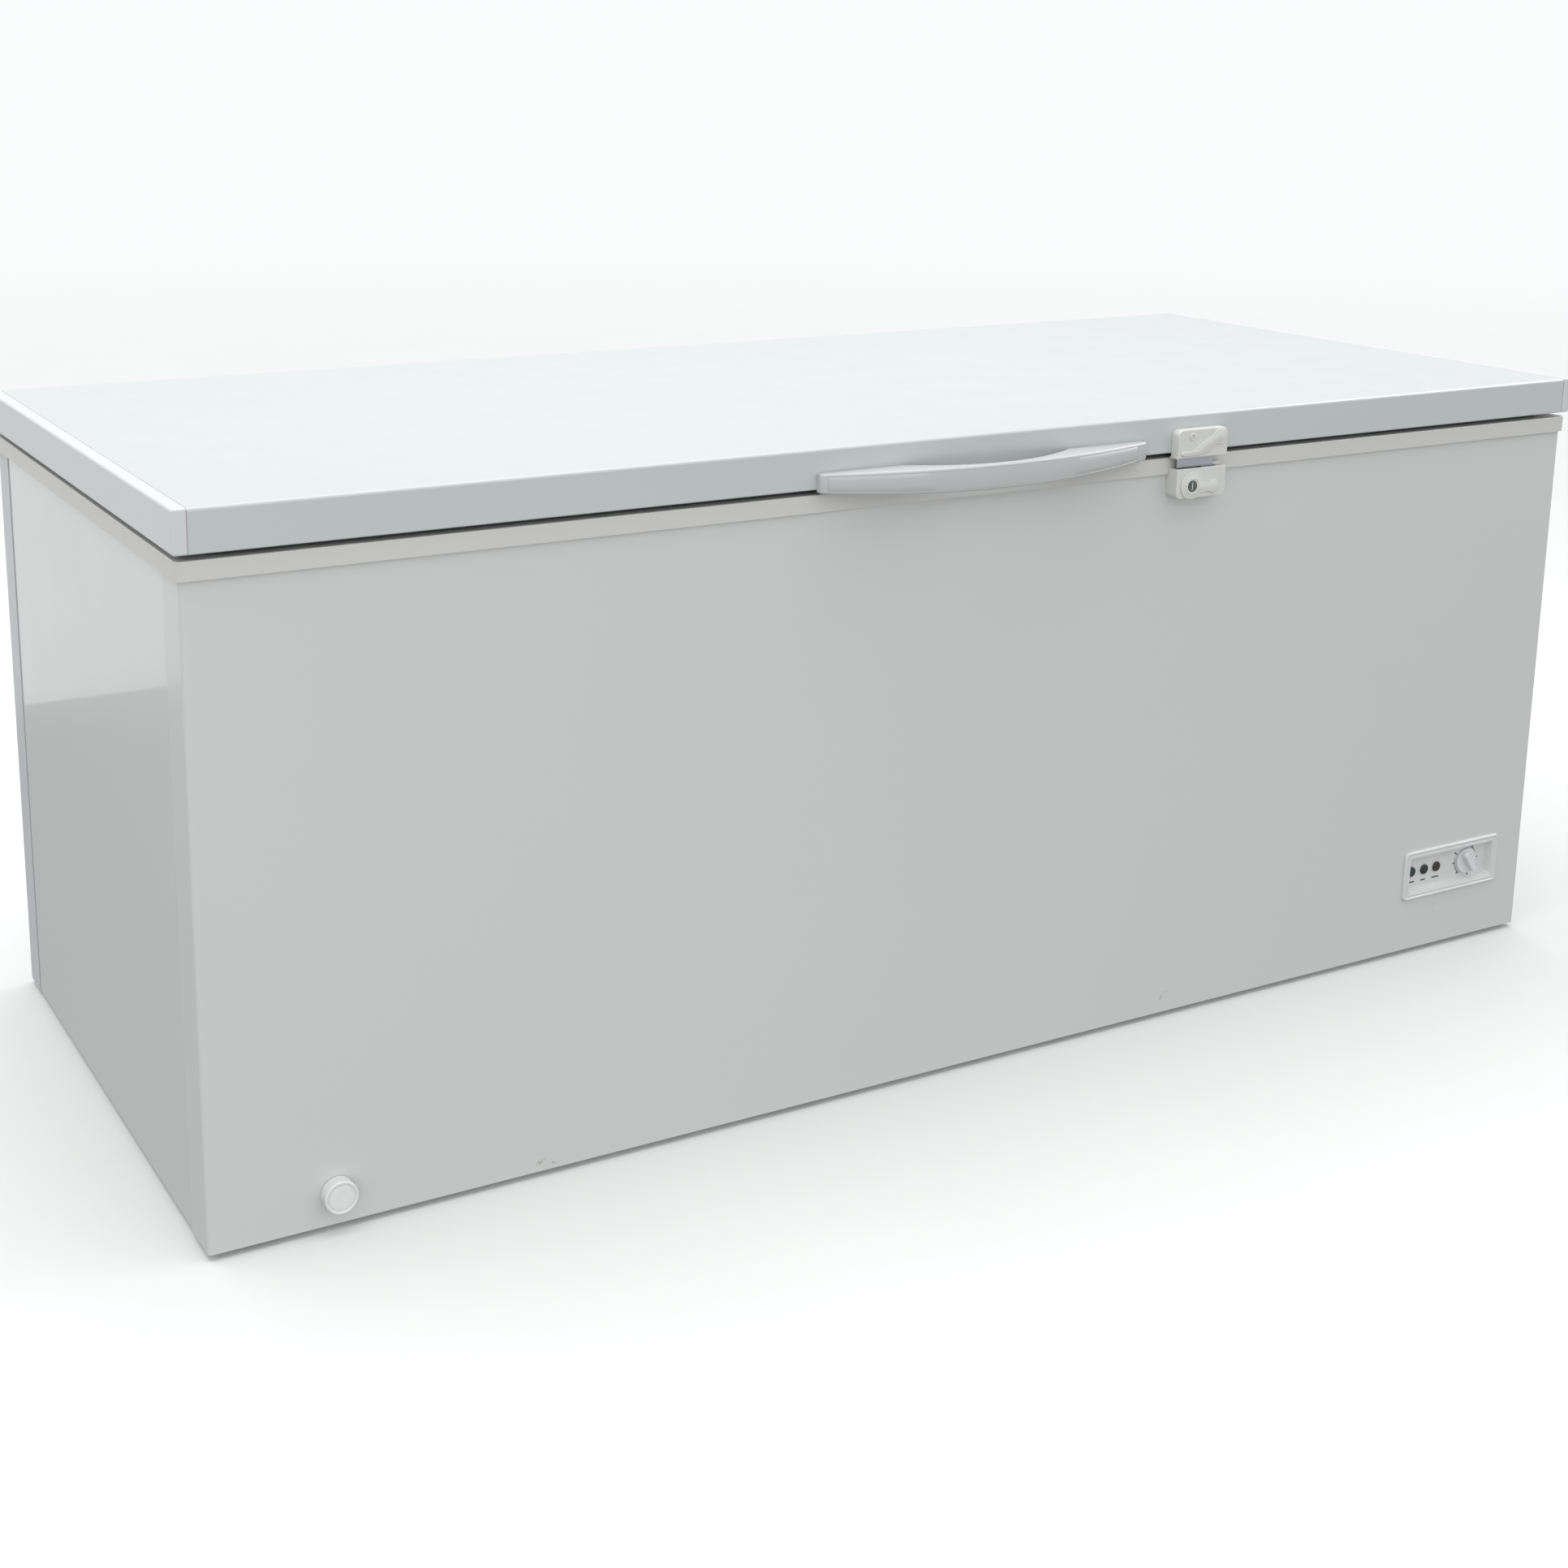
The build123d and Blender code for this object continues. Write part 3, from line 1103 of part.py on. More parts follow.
def basket():
    """Wire basket hung by two rails on the rim's ledges: floor, four walls and two rails."""
    depth = BASKET_Y1 - BASKET_Y0
    cx = (BASKET_LEFT + BASKET_RIGHT) / 2
    cy = (BASKET_Y0 + BASKET_Y1) / 2
    half_wire = BASKET_WIRE / 2
    wall_z = (BASKET_BOTTOM + BASKET_WIRE + BASKET_TOP) / 2
    wall_h = BASKET_TOP - BASKET_BOTTOM - BASKET_WIRE
    parts = [Pos(cx, cy, BASKET_BOTTOM + half_wire) * lattice(BASKET_WIDTH, depth, 8, 12)]
    for y in (BASKET_Y0 + half_wire, BASKET_Y1 - half_wire):
        parts.append(Pos(cx, y, wall_z) * Rot(90, 0, 0) * lattice(BASKET_WIDTH, wall_h, 8, 4))
    for x in (BASKET_LEFT + half_wire, BASKET_RIGHT - half_wire):
        inner_depth = depth - 2 * BASKET_WIRE
        parts.append(Pos(x, cy, wall_z) * Rot(0, 90, 0) * lattice(wall_h, inner_depth, 4, 12))
    rail = LEDGE_WIDTH + 2.5
    z0 = BASKET_TOP - BASKET_WIRE
    parts.append(block(BASKET_LEFT, BASKET_RIGHT, BASKET_Y0 - rail, BASKET_Y0, z0, BASKET_TOP))
    parts.append(block(BASKET_LEFT, BASKET_RIGHT, BASKET_Y1, BASKET_Y1 + rail, z0, BASKET_TOP))
    return parts


# ---------------------------------------------------------------- the whole object
def nodes():
    """Every piece by its name."""
    pieces = {
        "front_panel": front_panel(),
        "side_panel_left": side_panel(-1),
        "side_panel_right": side_panel(1),
        "rear_panel": rear_panel(),
        "base_pan": base_pan(),
        "feet": feet(),
        "rim_frame": rim_frame(),
        "inner_liner": inner_liner(),
        "cabinet_foam": cabinet_foam(),
        "machine_bulkhead": machine_bulkhead(),
        "evaporator_coil": evaporator.solid(),
        "condenser_coil": condenser.solid(),
        "compressor": compressor(),
        "compressor_base": compressor_base(),
        "compressor_grommets": compressor_grommets(),
        "compressor_bolts": compressor_bolts(),
        "relay_cover": relay_cover(),
        "filter_drier": filter_drier(),
        "discharge_pipe": discharge_pipe(),
        "liquid_pipe": liquid_pipe(),
        "capillary_tube": capillary_tube(),
        "suction_pipe": suction_pipe(),
        "thermostat": thermostat(),
        "control_bezel": control_bezel(),
        "lock_housing": lock_housing(),
        "drain_pipe": drain_pipe(),
        "side_grille": side_grille(),
        "grille_screws": grille_screws(),
        "rear_cover": rear_cover(),
        "rear_cover_screws": rear_cover_screws(),
        "cable_gland": cable_gland(),
        "hinge_bracket_screws": hinge_bracket_screws(),
        "lid_skin": lid_skin(),
        "lid_foam": lid_foam(),
        "lid_inner_panel": lid_inner_panel(),
        "lid_gasket": lid_gasket(),
        "handle": handle(),
        "handle_screws": handle_screws(),
        "lock_strike": lock_strike(),
        "lock_tongue": lock_tongue(),
        "hinge_leaf_screws": hinge_leaf_screws(),
        "thermostat_knob": thermostat_knob(),
        "lock_cylinder": lock_cylinder(),
        "lock_cam": lock_cam(),
        "drain_cap": drain_cap(),
        "drain_plug": drain_plug(),
        "basket": basket(),
    }
    for name, x in LAMP_X.items():
        pieces[f"lamp_lens_{name}"] = lamp_lens(x)
    for name, side in (("left", -1), ("right", 1)):
        pieces[f"lid_end_cap_{name}"] = lid_end_cap(side)
        pieces[f"hinge_bracket_{name}"] = hinge_bracket(side)
        pieces[f"hinge_pin_{name}"] = hinge_pin(side)
        pieces[f"hinge_spring_{name}"] = hinge_spring(side)
        pieces[f"hinge_leaf_{name}"] = hinge_leaf(side)
    return pieces


os.makedirs("parts", exist_ok=True)
for node, shape in nodes().items():
    solids = [s for piece in shape for s in piece.solids()] if isinstance(shape, list) else shape.solids()
    export_step(Compound(children=list(solids)) if len(solids) > 1 else solids[0], f"parts/{node}.step")
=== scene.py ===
"""Looks of the chest freezer: materials on the CAD nodes, detailed pieces, studio and camera."""

import json
from math import cos, pi, radians, sin, sqrt

import bmesh
import bpy
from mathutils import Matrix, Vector


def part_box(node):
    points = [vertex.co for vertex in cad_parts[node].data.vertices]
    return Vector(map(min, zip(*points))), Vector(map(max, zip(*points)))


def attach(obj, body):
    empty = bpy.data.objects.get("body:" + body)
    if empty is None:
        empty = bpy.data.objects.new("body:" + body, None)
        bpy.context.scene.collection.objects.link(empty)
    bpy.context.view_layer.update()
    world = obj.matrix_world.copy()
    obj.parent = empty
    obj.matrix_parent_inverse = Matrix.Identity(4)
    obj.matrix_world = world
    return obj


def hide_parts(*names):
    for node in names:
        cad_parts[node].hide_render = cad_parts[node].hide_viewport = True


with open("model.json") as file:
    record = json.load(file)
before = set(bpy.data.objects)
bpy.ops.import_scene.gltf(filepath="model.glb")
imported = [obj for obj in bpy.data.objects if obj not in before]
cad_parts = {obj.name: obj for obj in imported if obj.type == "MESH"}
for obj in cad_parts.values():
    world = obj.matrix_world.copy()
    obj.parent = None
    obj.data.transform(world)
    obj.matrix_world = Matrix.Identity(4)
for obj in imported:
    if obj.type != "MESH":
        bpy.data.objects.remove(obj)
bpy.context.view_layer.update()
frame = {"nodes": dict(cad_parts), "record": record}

MM = 0.001
# Grey painted on the lid sheet along its joints with the end caps, as shade in the seams.
PAINTED_SEAM_SHADE = (0.30, 0.31, 0.31)


# ---------------------------------------------------------------- shader helpers
class Shader:
    """One principled material with helpers that add procedural inputs to it."""

    def __init__(self, name, roughness, metallic=0.0, coat=0.0, coat_roughness=0.1, specular=0.5):
        self.material = bpy.data.materials.new(name)
        self.material.use_nodes = True
        self.tree = self.material.node_tree
        self.bsdf = next(n for n in self.tree.nodes if n.type == "BSDF_PRINCIPLED")
        self.bsdf.inputs["Roughness"].default_value = roughness
        self.bsdf.inputs["Metallic"].default_value = metallic
        self.bsdf.inputs["Coat Weight"].default_value = coat
        self.bsdf.inputs["Coat Roughness"].default_value = coat_roughness
        self.bsdf.inputs["Specular IOR Level"].default_value = specular
        self.bsdf.inputs["IOR"].default_value = 1.5
        self.place = self.tree.nodes.new("ShaderNodeTexCoord").outputs["Object"]
        self.height = None

    def link(self, source, target):
        self.tree.links.new(source, target)

    def math(self, operation, first, second=None):
        node = self.tree.nodes.new("ShaderNodeMath")
        node.operation = operation
        for socket, value in zip(node.inputs, (first, second)):
            if value is None:
                continue
            if isinstance(value, (int, float)):
                socket.default_value = value
            else:
                self.link(value, socket)
        return node.outputs[0]

    def axes(self):
        node = self.tree.nodes.new("ShaderNodeSeparateXYZ")
        self.link(self.place, node.inputs[0])
        return node.outputs

    def noise(self, scale, detail=3.0, rough=0.55, stretch=(1, 1, 1), shift=(0, 0, 0)):
        mapping = self.tree.nodes.new("ShaderNodeMapping")
        mapping.inputs["Scale"].default_value = stretch
        mapping.inputs["Location"].default_value = shift
        self.link(self.place, mapping.inputs["Vector"])
        node = self.tree.nodes.new("ShaderNodeTexNoise")
        node.inputs["Scale"].default_value = scale
        node.inputs["Detail"].default_value = detail
        node.inputs["Roughness"].default_value = rough
        self.link(mapping.outputs[0], node.inputs["Vector"])
        return node.outputs[0]

    def cells(self, scale, feature="F1", output="Distance"):
        """Voronoi cells."""
        node = self.tree.nodes.new("ShaderNodeTexVoronoi")
        node.feature = feature
        node.inputs["Scale"].default_value = scale
        self.link(self.place, node.inputs["Vector"])
        return node.outputs[output]

    def ramp(self, value, *stops):
        """Colour ramp through (position, colour) stops."""
        node = self.tree.nodes.new("ShaderNodeValToRGB")
        elements = node.color_ramp.elements
        while len(elements) < len(stops):
            elements.new(0.5)
        for element, (position, colour) in zip(elements, stops):
            element.position = position
            element.color = (*colour, 1.0)
        self.link(value, node.inputs[0])
        return node.outputs[0]

    def span(self, value, low, high, to_low=0.0, to_high=1.0):
        """The value smoothly mapped from one range to another."""
        node = self.tree.nodes.new("ShaderNodeMapRange")
        node.interpolation_type = "SMOOTHSTEP"
        for socket, number in zip(node.inputs[1:5], (low, high, to_low, to_high)):
            socket.default_value = number
        self.link(value, node.inputs[0])
        return node.outputs[0]

    def blend(self, mask, under, over):
        """One colour over another where the mask is 1."""
        node = self.tree.nodes.new("ShaderNodeMix")
        node.data_type = "RGBA"
        self.link(mask, node.inputs[0])
        for socket, value in zip((node.inputs[6], node.inputs[7]), (under, over)):
            if isinstance(value, tuple):
                socket.default_value = (*value, 1.0)
            else:
                self.link(value, socket)
        return node.outputs[2]

    def colour(self, value):
        self.link(value, self.bsdf.inputs["Base Color"])
        return self

    def rough(self, value):
        self.link(value, self.bsdf.inputs["Roughness"])
        return self

    def bump(self, height, strength, distance):
        node = self.tree.nodes.new("ShaderNodeBump")
        node.inputs["Strength"].default_value = strength
        node.inputs["Distance"].default_value = distance
        self.link(height, node.inputs["Height"])
        if self.height is not None:
            self.link(self.height, node.inputs["Normal"])
        self.height = node.outputs[0]
        self.link(self.height, self.bsdf.inputs["Normal"])
        return self


def shades(colour, spread):
    """The colour a little darker and a little lighter."""
    return tuple(c * (1 - spread) for c in colour), tuple(min(1.0, c * (1 + spread)) for c in colour)


def mottled(shader, colour, spread, scale, detail=3.0, stretch=(1, 1, 1)):
    """Base colour that drifts between two near shades."""
    dark, light = shades(colour, spread)
    return shader.ramp(shader.noise(scale, detail, stretch=stretch), (0.3, dark), (0.7, light))


def varied_roughness(shader, low, high, scale):
    shader.rough(shader.span(shader.noise(scale, 4.0), 0.3, 0.7, low, high))


def plastic(name, colour, roughness, grain=160.0, relief=0.10):
    """Moulded plastic with a shallow ripple and faint flow marks."""
    s = Shader(name, roughness)
    s.colour(mottled(s, colour, 0.006, 9.0, 1.5))
    varied_roughness(s, roughness * 0.97, roughness * 1.04, 40.0)
    s.bump(s.noise(grain, 0.0), relief, 0.00004)
    return s


def metal(name, colour, roughness, stretch=(1, 1, 1), scale=260.0, spread=0.08, relief=0.15, patch=9.0):
    """Bare or plated metal with brushing along one axis and dull patches."""
    s = Shader(name, roughness, metallic=1.0)
    s.colour(mottled(s, colour, spread, patch, 5.0))
    streaks = s.noise(scale, 3.0, stretch=stretch)
    s.rough(s.span(streaks, 0.25, 0.75, roughness * 0.75, roughness * 1.3))
    s.bump(streaks, relief, 0.0001)
    return s


# ---------------------------------------------------------------- materials
PANEL_COLOUR = (0.562, 0.570, 0.562)
LID_COLOUR = (0.482, 0.508, 0.514)


def sheet_paint(name, colour, roughness=0.33, coat=0.35, spread=0.008, coat_roughness=0.12, peel=0.02):
    """Coil-coated steel: orange peel, faint roller drift and a thin clear gloss."""
    s = Shader(name, roughness, coat=coat, coat_roughness=coat_roughness)
    drift = mottled(s, colour, spread, 1.6, 2.0)
    s.bump(s.noise(420.0, 0.0), peel, 0.0001)
    s.bump(s.noise(3.0, 0.0), 0.04, 0.002)
    varied_roughness(s, roughness * 0.95, roughness * 1.08, 12.0)
    return s, drift


def mark(s, x, z, width, height, tilt, seed):
    """Mask of one short scuff on the front, broken up by fine noise."""
    axes = s.axes()
    dx = s.math("SUBTRACT", axes[0], x)
    dz = s.math("SUBTRACT", axes[2], z)
    along = s.math("ADD", s.math("MULTIPLY", dx, cos(tilt)), s.math("MULTIPLY", dz, sin(tilt)))
    across = s.math("SUBTRACT", s.math("MULTIPLY", dz, cos(tilt)), s.math("MULTIPLY", dx, sin(tilt)))
    far = s.math(
        "ADD",
        s.math("POWER", s.math("ABSOLUTE", s.math("DIVIDE", along, width)), 2.0),
        s.math("POWER", s.math("ABSOLUTE", s.math("DIVIDE", across, height)), 2.0),
    )
    inside = s.span(far, 0.2, 1.0, 1.0, 0.0)
    broken = s.span(s.noise(620.0, 4.0, stretch=(1, 1, 0.35), shift=(seed, 0, 0)), 0.46, 0.58)
    return s.math("MULTIPLY", inside, broken)


def front_paint():
    """The front panel's paint with a few small scuffs near the floor."""
    s, drift = sheet_paint("front_paint", PANEL_COLOUR)
    scuffs = None
    for i, (x, z, width, height, tilt) in enumerate(
        (
            (-0.617, 0.020, 0.009, 0.0035, 0.5),
            (-0.600, 0.015, 0.006, 0.0020, -0.3),
            (0.324, 0.031, 0.010, 0.0022, 0.9),
            (0.334, 0.037, 0.005, 0.0018, 0.7),
            (0.843, 0.068, 0.004, 0.0016, 0.2),
            (0.842, 0.058, 0.003, 0.0014, 1.2),
        )
    ):
        one = mark(s, x, z, width, height, tilt, i * 3.7)
        scuffs = one if scuffs is None else s.math("MAXIMUM", scuffs, one)
    s.colour(s.blend(scuffs, drift, (0.36, 0.35, 0.32)))
    return s.material


def side_paint():
    """The side panels, glossier, with pale specks low down that are a painted reflection of the floor's
    texture.
    """
    s, drift = sheet_paint(
        "side_paint", PANEL_COLOUR, roughness=0.30, coat=0.7, coat_roughness=0.045, peel=0.0
    )
    height = s.axes()[2]
    # Painted reflection: pale flecks towards the bottom stand in for the floor's texture mirrored in the
    # glossy side.
    low = s.span(height, 0.05, 0.34, 1.0, 0.0)
    flecks = s.span(s.noise(95.0, 3.0), 0.72, 0.78)
    painted_floor_reflection = s.math("MULTIPLY", s.math("MULTIPLY", low, flecks), 0.55)
    s.colour(s.blend(painted_floor_reflection, drift, (0.86, 0.87, 0.86)))
    return s.material


def lid_paint():
    """White lid sheet with painted shade: a thin grey band along the joints against the end caps."""
    s, drift = sheet_paint("lid_paint", LID_COLOUR, spread=0.004, peel=0.01)
    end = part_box("lid_skin")[1].x
    # Painted shade: a thin grey band on the lid sheet along the joints with the end caps.
    seam_shade_mask = s.span(s.math("ABSOLUTE", s.axes()[0]), end - 0.0014, end - 0.0004)
    s.colour(s.blend(seam_shade_mask, drift, PAINTED_SEAM_SHADE))
    return s.material


def rear_paint():
    s, drift = sheet_paint("rear_paint", (0.50, 0.52, 0.53), roughness=0.42, coat=0.1, spread=0.03)
    s.colour(drift)
    return s.material


def spangled_zinc():
    """Hot-dip galvanised sheet with crystal spangle."""
    s = Shader("galvanised_sheet", 0.42, metallic=0.9)
    cell = s.cells(120.0, output="Color")
    tone = s.math("MULTIPLY", cell, 1.0)
    dark, middle, light = (0.42, 0.44, 0.46), (0.55, 0.57, 0.58), (0.66, 0.67, 0.67)
    s.colour(s.ramp(tone, (0.1, dark), (0.5, middle), (0.9, light)))
    s.rough(s.span(tone, 0.0, 1.0, 0.34, 0.55))
    s.bump(s.noise(300.0, 3.0), 0.1, 0.0002)
    return s.material


def stucco_aluminium():
    """Stucco-embossed aluminium of the liner."""
    s = Shader("stucco_aluminium", 0.34, metallic=0.85)
    warped = s.cells(210.0, feature="SMOOTH_F1")
    s.colour(mottled(s, (0.78, 0.79, 0.80), 0.05, 3.0))
    varied_roughness(s, 0.28, 0.42, 14.0)
    s.bump(warped, 0.75, 0.0011)
    s.bump(s.noise(420.0, 2.0), 0.25, 0.0004)
    return s.material


def rolled_aluminium():
    return metal("rolled_aluminium", (0.74, 0.75, 0.76), 0.38).material


def oxidised_copper():
    s = Shader("oxidised_copper", 0.34, metallic=1.0)
    patches = s.noise(26.0, 6.0, 0.65)
    brown, bright, pale = (0.42, 0.20, 0.12), (0.74, 0.42, 0.28), (0.86, 0.56, 0.40)
    s.colour(s.ramp(patches, (0.32, brown), (0.50, bright), (0.72, pale)))
    s.rough(s.span(patches, 0.3, 0.7, 0.5, 0.26))
    s.bump(s.noise(500.0, 3.0), 0.12, 0.0002)
    return s.material


def zinc_plate():
    return metal("zinc_plate", (0.66, 0.67, 0.69), 0.30, stretch=(1, 1, 6), spread=0.06).material


def steel_plate():
    """Bluish steel of the lock's tongue."""
    return metal("lock_steel", (0.50, 0.52, 0.56), 0.42, stretch=(0.2, 1, 4), spread=0.05).material


def enamel():
    s = Shader("black_enamel", 0.28, coat=0.4, coat_roughness=0.15)
    s.colour(mottled(s, (0.028, 0.028, 0.032), 0.2, 12.0))
    s.bump(s.noise(160.0, 3.0), 0.3, 0.0006)
    return s.material


def foam():
    """Cut polyurethane foam."""
    s = Shader("polyurethane_foam", 0.9, specular=0.2)
    s.colour(mottled(s, (0.82, 0.74, 0.50), 0.08, 30.0, 5.0))
    s.bump(s.cells(900.0), 0.6, 0.0006)
    return s.material


def rubber(name, colour, roughness=0.62):
    s = Shader(name, roughness, specular=0.35)
    s.colour(mottled(s, colour, 0.12, 40.0))
    varied_roughness(s, roughness * 0.85, roughness * 1.1, 90.0)
    s.bump(s.noise(700.0, 3.0), 0.25, 0.0002)
    return s.material


def lens(name, colour):
    """Dark glossy lens that only hints at its colour."""
    s = Shader(name, 0.12, coat=0.6, coat_roughness=0.05)
    s.colour(mottled(s, colour, 0.25, 120.0))
    s.bump(s.cells(900.0), 0.06, 0.0003)
    return s.material


def ink(name="dial_ink"):
    s = Shader(name, 0.6, specular=0.3)
    s.colour(mottled(s, (0.045, 0.050, 0.055), 0.3, 300.0))
    s.bump(s.noise(2500.0), 0.1, 0.00005)
    return s.material


def coated_wire():
    s = Shader("coated_wire", 0.3, coat=0.4, coat_roughness=0.12)
    s.colour(mottled(s, (0.80, 0.81, 0.81), 0.03, 30.0))
    s.bump(s.noise(260.0, 2.0), 0.2, 0.0003)
    return s.material


WHITE_PLASTIC = plastic("white_plastic", (0.680, 0.690, 0.686), 0.30).material
HANDLE_PLASTIC = plastic("handle_plastic", (0.455, 0.465, 0.465), 0.29, grain=60.0).material
LOCK_PLASTIC = plastic("lock_plastic", (0.590, 0.594, 0.562), 0.36).material
LOCK_BLACK = plastic("lock_black", (0.014, 0.018, 0.016), 0.22).material
LOCK_STEEL = steel_plate()
PLUG_STEEL = metal("plug_steel", (0.10, 0.13, 0.12), 0.30, stretch=(3, 1, 1), spread=0.3).material
INK = ink()
GASKET_RUBBER = rubber("gasket_rubber", (0.115, 0.135, 0.130))
WIRE = coated_wire()
ZINC = zinc_plate()

SLOT_MATERIALS = {
    "rear_paint": rear_paint(),
    "galvanised": spangled_zinc(),
    "black_plastic": plastic("black_plastic", (0.030, 0.031, 0.033), 0.5, grain=700.0, relief=0.3).material,
    "rim_plastic": plastic("rim_plastic", (0.545, 0.545, 0.524), 0.40).material,
    "embossed_aluminium": stucco_aluminium(),
    "foam": foam(),
    "coil_aluminium": rolled_aluminium(),
    "copper": oxidised_copper(),
    "black_enamel": enamel(),
    "black_rubber": rubber("black_rubber", (0.025, 0.025, 0.026)),
    "zinc": ZINC,
    "bezel_plastic": plastic("bezel_plastic", (0.605, 0.615, 0.611), 0.30).material,
    "lock_plastic": LOCK_PLASTIC,
    "white_plastic": WHITE_PLASTIC,
    "cap_plastic": plastic("cap_plastic", (0.565, 0.575, 0.584), 0.36).material,
    "lid_paint": lid_paint(),
    "inner_plastic": plastic("inner_plastic", (0.80, 0.81, 0.81), 0.32, grain=300.0, relief=0.1).material,
    "grey_rubber": GASKET_RUBBER,
    "knob_plastic": plastic("knob_plastic", (0.640, 0.655, 0.655), 0.30).material,
    "lock_metal": LOCK_STEEL,
    "white_rubber": rubber("white_rubber", (0.70, 0.70, 0.69), 0.5),
    "coated_wire": WIRE,
    "lens_green": lens("lens_green", (0.006, 0.020, 0.018)),
    "lens_black": lens("lens_black", (0.008, 0.008, 0.009)),
    "lens_red": lens("lens_red", (0.026, 0.006, 0.007)),
}
SIDE_PAINT = side_paint()
NODE_MATERIALS = {
    "front_panel": front_paint(),
    "side_panel_left": SIDE_PAINT,
    "side_panel_right": SIDE_PAINT,
    "lock_tongue": LOCK_STEEL,
    "lock_cam": LOCK_STEEL,
}


def dress(node, material):
    for slot in frame["nodes"][node].material_slots:
        slot.material = material


for part in frame["record"]["subparts"]:
    name = part["node"]
    dress(name, NODE_MATERIALS.get(name) or SLOT_MATERIALS[part["material_slot"]])


# ---------------------------------------------------------------- mesh helpers
class Mesh:
    """Points and faces gathered for one piece."""

    def __init__(self):
        self.points = []
        self.faces = []

    def loft(self, rings, closed=False, caps=True):
        """Skin over rings of equal length."""
        start = len(self.points)
        size = len(rings[0])
        for ring in rings:
            self.points.extend(ring)
        count = len(rings)
        for i in range(count if closed else count - 1):
            a = start + i * size
            b = start + ((i + 1) % count) * size
            for j in range(size):
                k = (j + 1) % size
                self.faces.append((a + j, a + k, b + k, b + j))
        if caps and not closed:
            self.faces.append(tuple(range(start + size - 1, start - 1, -1)))
            self.faces.append(tuple(range(start + (count - 1) * size, start + count * size)))
        return self

    def tube(self, path, radius, sides=10, closed=False):
        """Round tube along a path of points."""
        path = [Vector(p) for p in path]
        count = len(path)
        rings = []
        side = None
        for i, p in enumerate(path):
            ahead = path[(i + 1) % count] if closed or i < count - 1 else p
            behind = path[i - 1] if closed or i > 0 else p
            run = (ahead - behind).normalized()
            if side is None:
                side = run.orthogonal().normalized()
            side = (side - run * side.dot(run)).normalized()
            other = run.cross(side)
            rings.append(
                [
                    p + side * (radius * cos(2 * pi * k / sides)) + other * (radius * sin(2 * pi * k / sides))
                    for k in range(sides)
                ]
            )
        return self.loft(rings, closed)

    def piece(self, name, material, body, slot, replaces=(), sharp=32.0):
        """The gathered faces as an object that rides on a body; edges sharper than the angle stay hard."""
        mesh = bpy.data.meshes.new(name)
        mesh.from_pydata([tuple(p) for p in self.points], [], self.faces)
        bm = bmesh.new()
        bm.from_mesh(mesh)
        bmesh.ops.remove_doubles(bm, verts=bm.verts, dist=1e-6)
        bmesh.ops.recalc_face_normals(bm, faces=bm.faces)
        for face in bm.faces:
            face.smooth = True
        for edge in bm.edges:
            if len(edge.link_faces) == 2 and edge.calc_face_angle() > radians(sharp):
                edge.smooth = False
        bm.to_mesh(mesh)
        bm.free()
        mesh.materials.append(material)
        obj = bpy.data.objects.new(name, mesh)
        bpy.context.scene.collection.objects.link(obj)
        if replaces:
            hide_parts(*replaces)
        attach(obj, body)
        return obj


def rounded_rect(x0, x1, y0, y1, radius, steps=8):
    """Corner points of a rounded rectangle with their outward directions."""
    loop = []
    corners = ((x1, y1, 1, 1, 0), (x0, y1, -1, 1, 90), (x0, y0, -1, -1, 180), (x1, y0, 1, -1, 270))
    for x, y, sx, sy, turn in corners:
        for i in range(steps + 1):
            a = radians(turn + 90 * i / steps)
            across = x - sx * radius + radius * cos(a)
            up = y - sy * radius + radius * sin(a)
            loop.append((across, up, cos(a), sin(a)))
    return loop


def circle(x, y, z, radius, count):
    """Points of a circle in a plane that faces the front."""
    angles = (2 * pi * k / count for k in range(count))
    return [(x + radius * cos(a), y, z + radius * sin(a)) for a in angles]


def smooth_loop(points, steps=5):
    """Closed curve through given points."""
    out = []
    count = len(points)
    for i in range(count):
        p0, p1, p2, p3 = (Vector(points[(i + k - 1) % count]) for k in range(4))
        for k in range(steps):
            t = k / steps
            square = (2 * p0 - 5 * p1 + 4 * p2 - p3) * t**2
            cube = (3 * p1 - 3 * p2 + p3 - p0) * t**3
            out.append(0.5 * (2 * p1 + (p2 - p0) * t + square + cube))
    return out


def inset(loop, amount):
    """Closed loop moved inwards; the loop runs anticlockwise."""
    out = []
    count = len(loop)
    for i in range(count):
        run = (loop[(i + 1) % count] - loop[i - 1]).normalized()
        out.append(loop[i] + Vector((-run.y, run.x)) * amount)
    return out


def plateau(mesh, loop, face_y, height, edge):
    """Raised flat with a rounded edge on a front face. The loop is (x, z), anticlockwise from the front."""
    rings = []
    for move, rise in ((0, -0.3 * MM), (0, height - edge), (edge * 0.3, height - edge * 0.3), (edge, height)):
        rings.append([(p.x, face_y - rise, p.y) for p in inset(loop, move)])
    mesh.loft(rings)


def lathe_y(mesh, x, z, profile, sides=48, ribs=None):
    """Solid of revolution about a line along Y. The profile is (y, radius) pairs from axis to axis."""
    rings = []
    for y, radius in profile:
        ring = []
        for k in range(sides):
            a = 2 * pi * k / sides
            r = radius + (ribs(k, y) if ribs else 0.0)
            ring.append((x + r * cos(a), y, z + r * sin(a)))
        rings.append(ring)
    mesh.loft(rings)


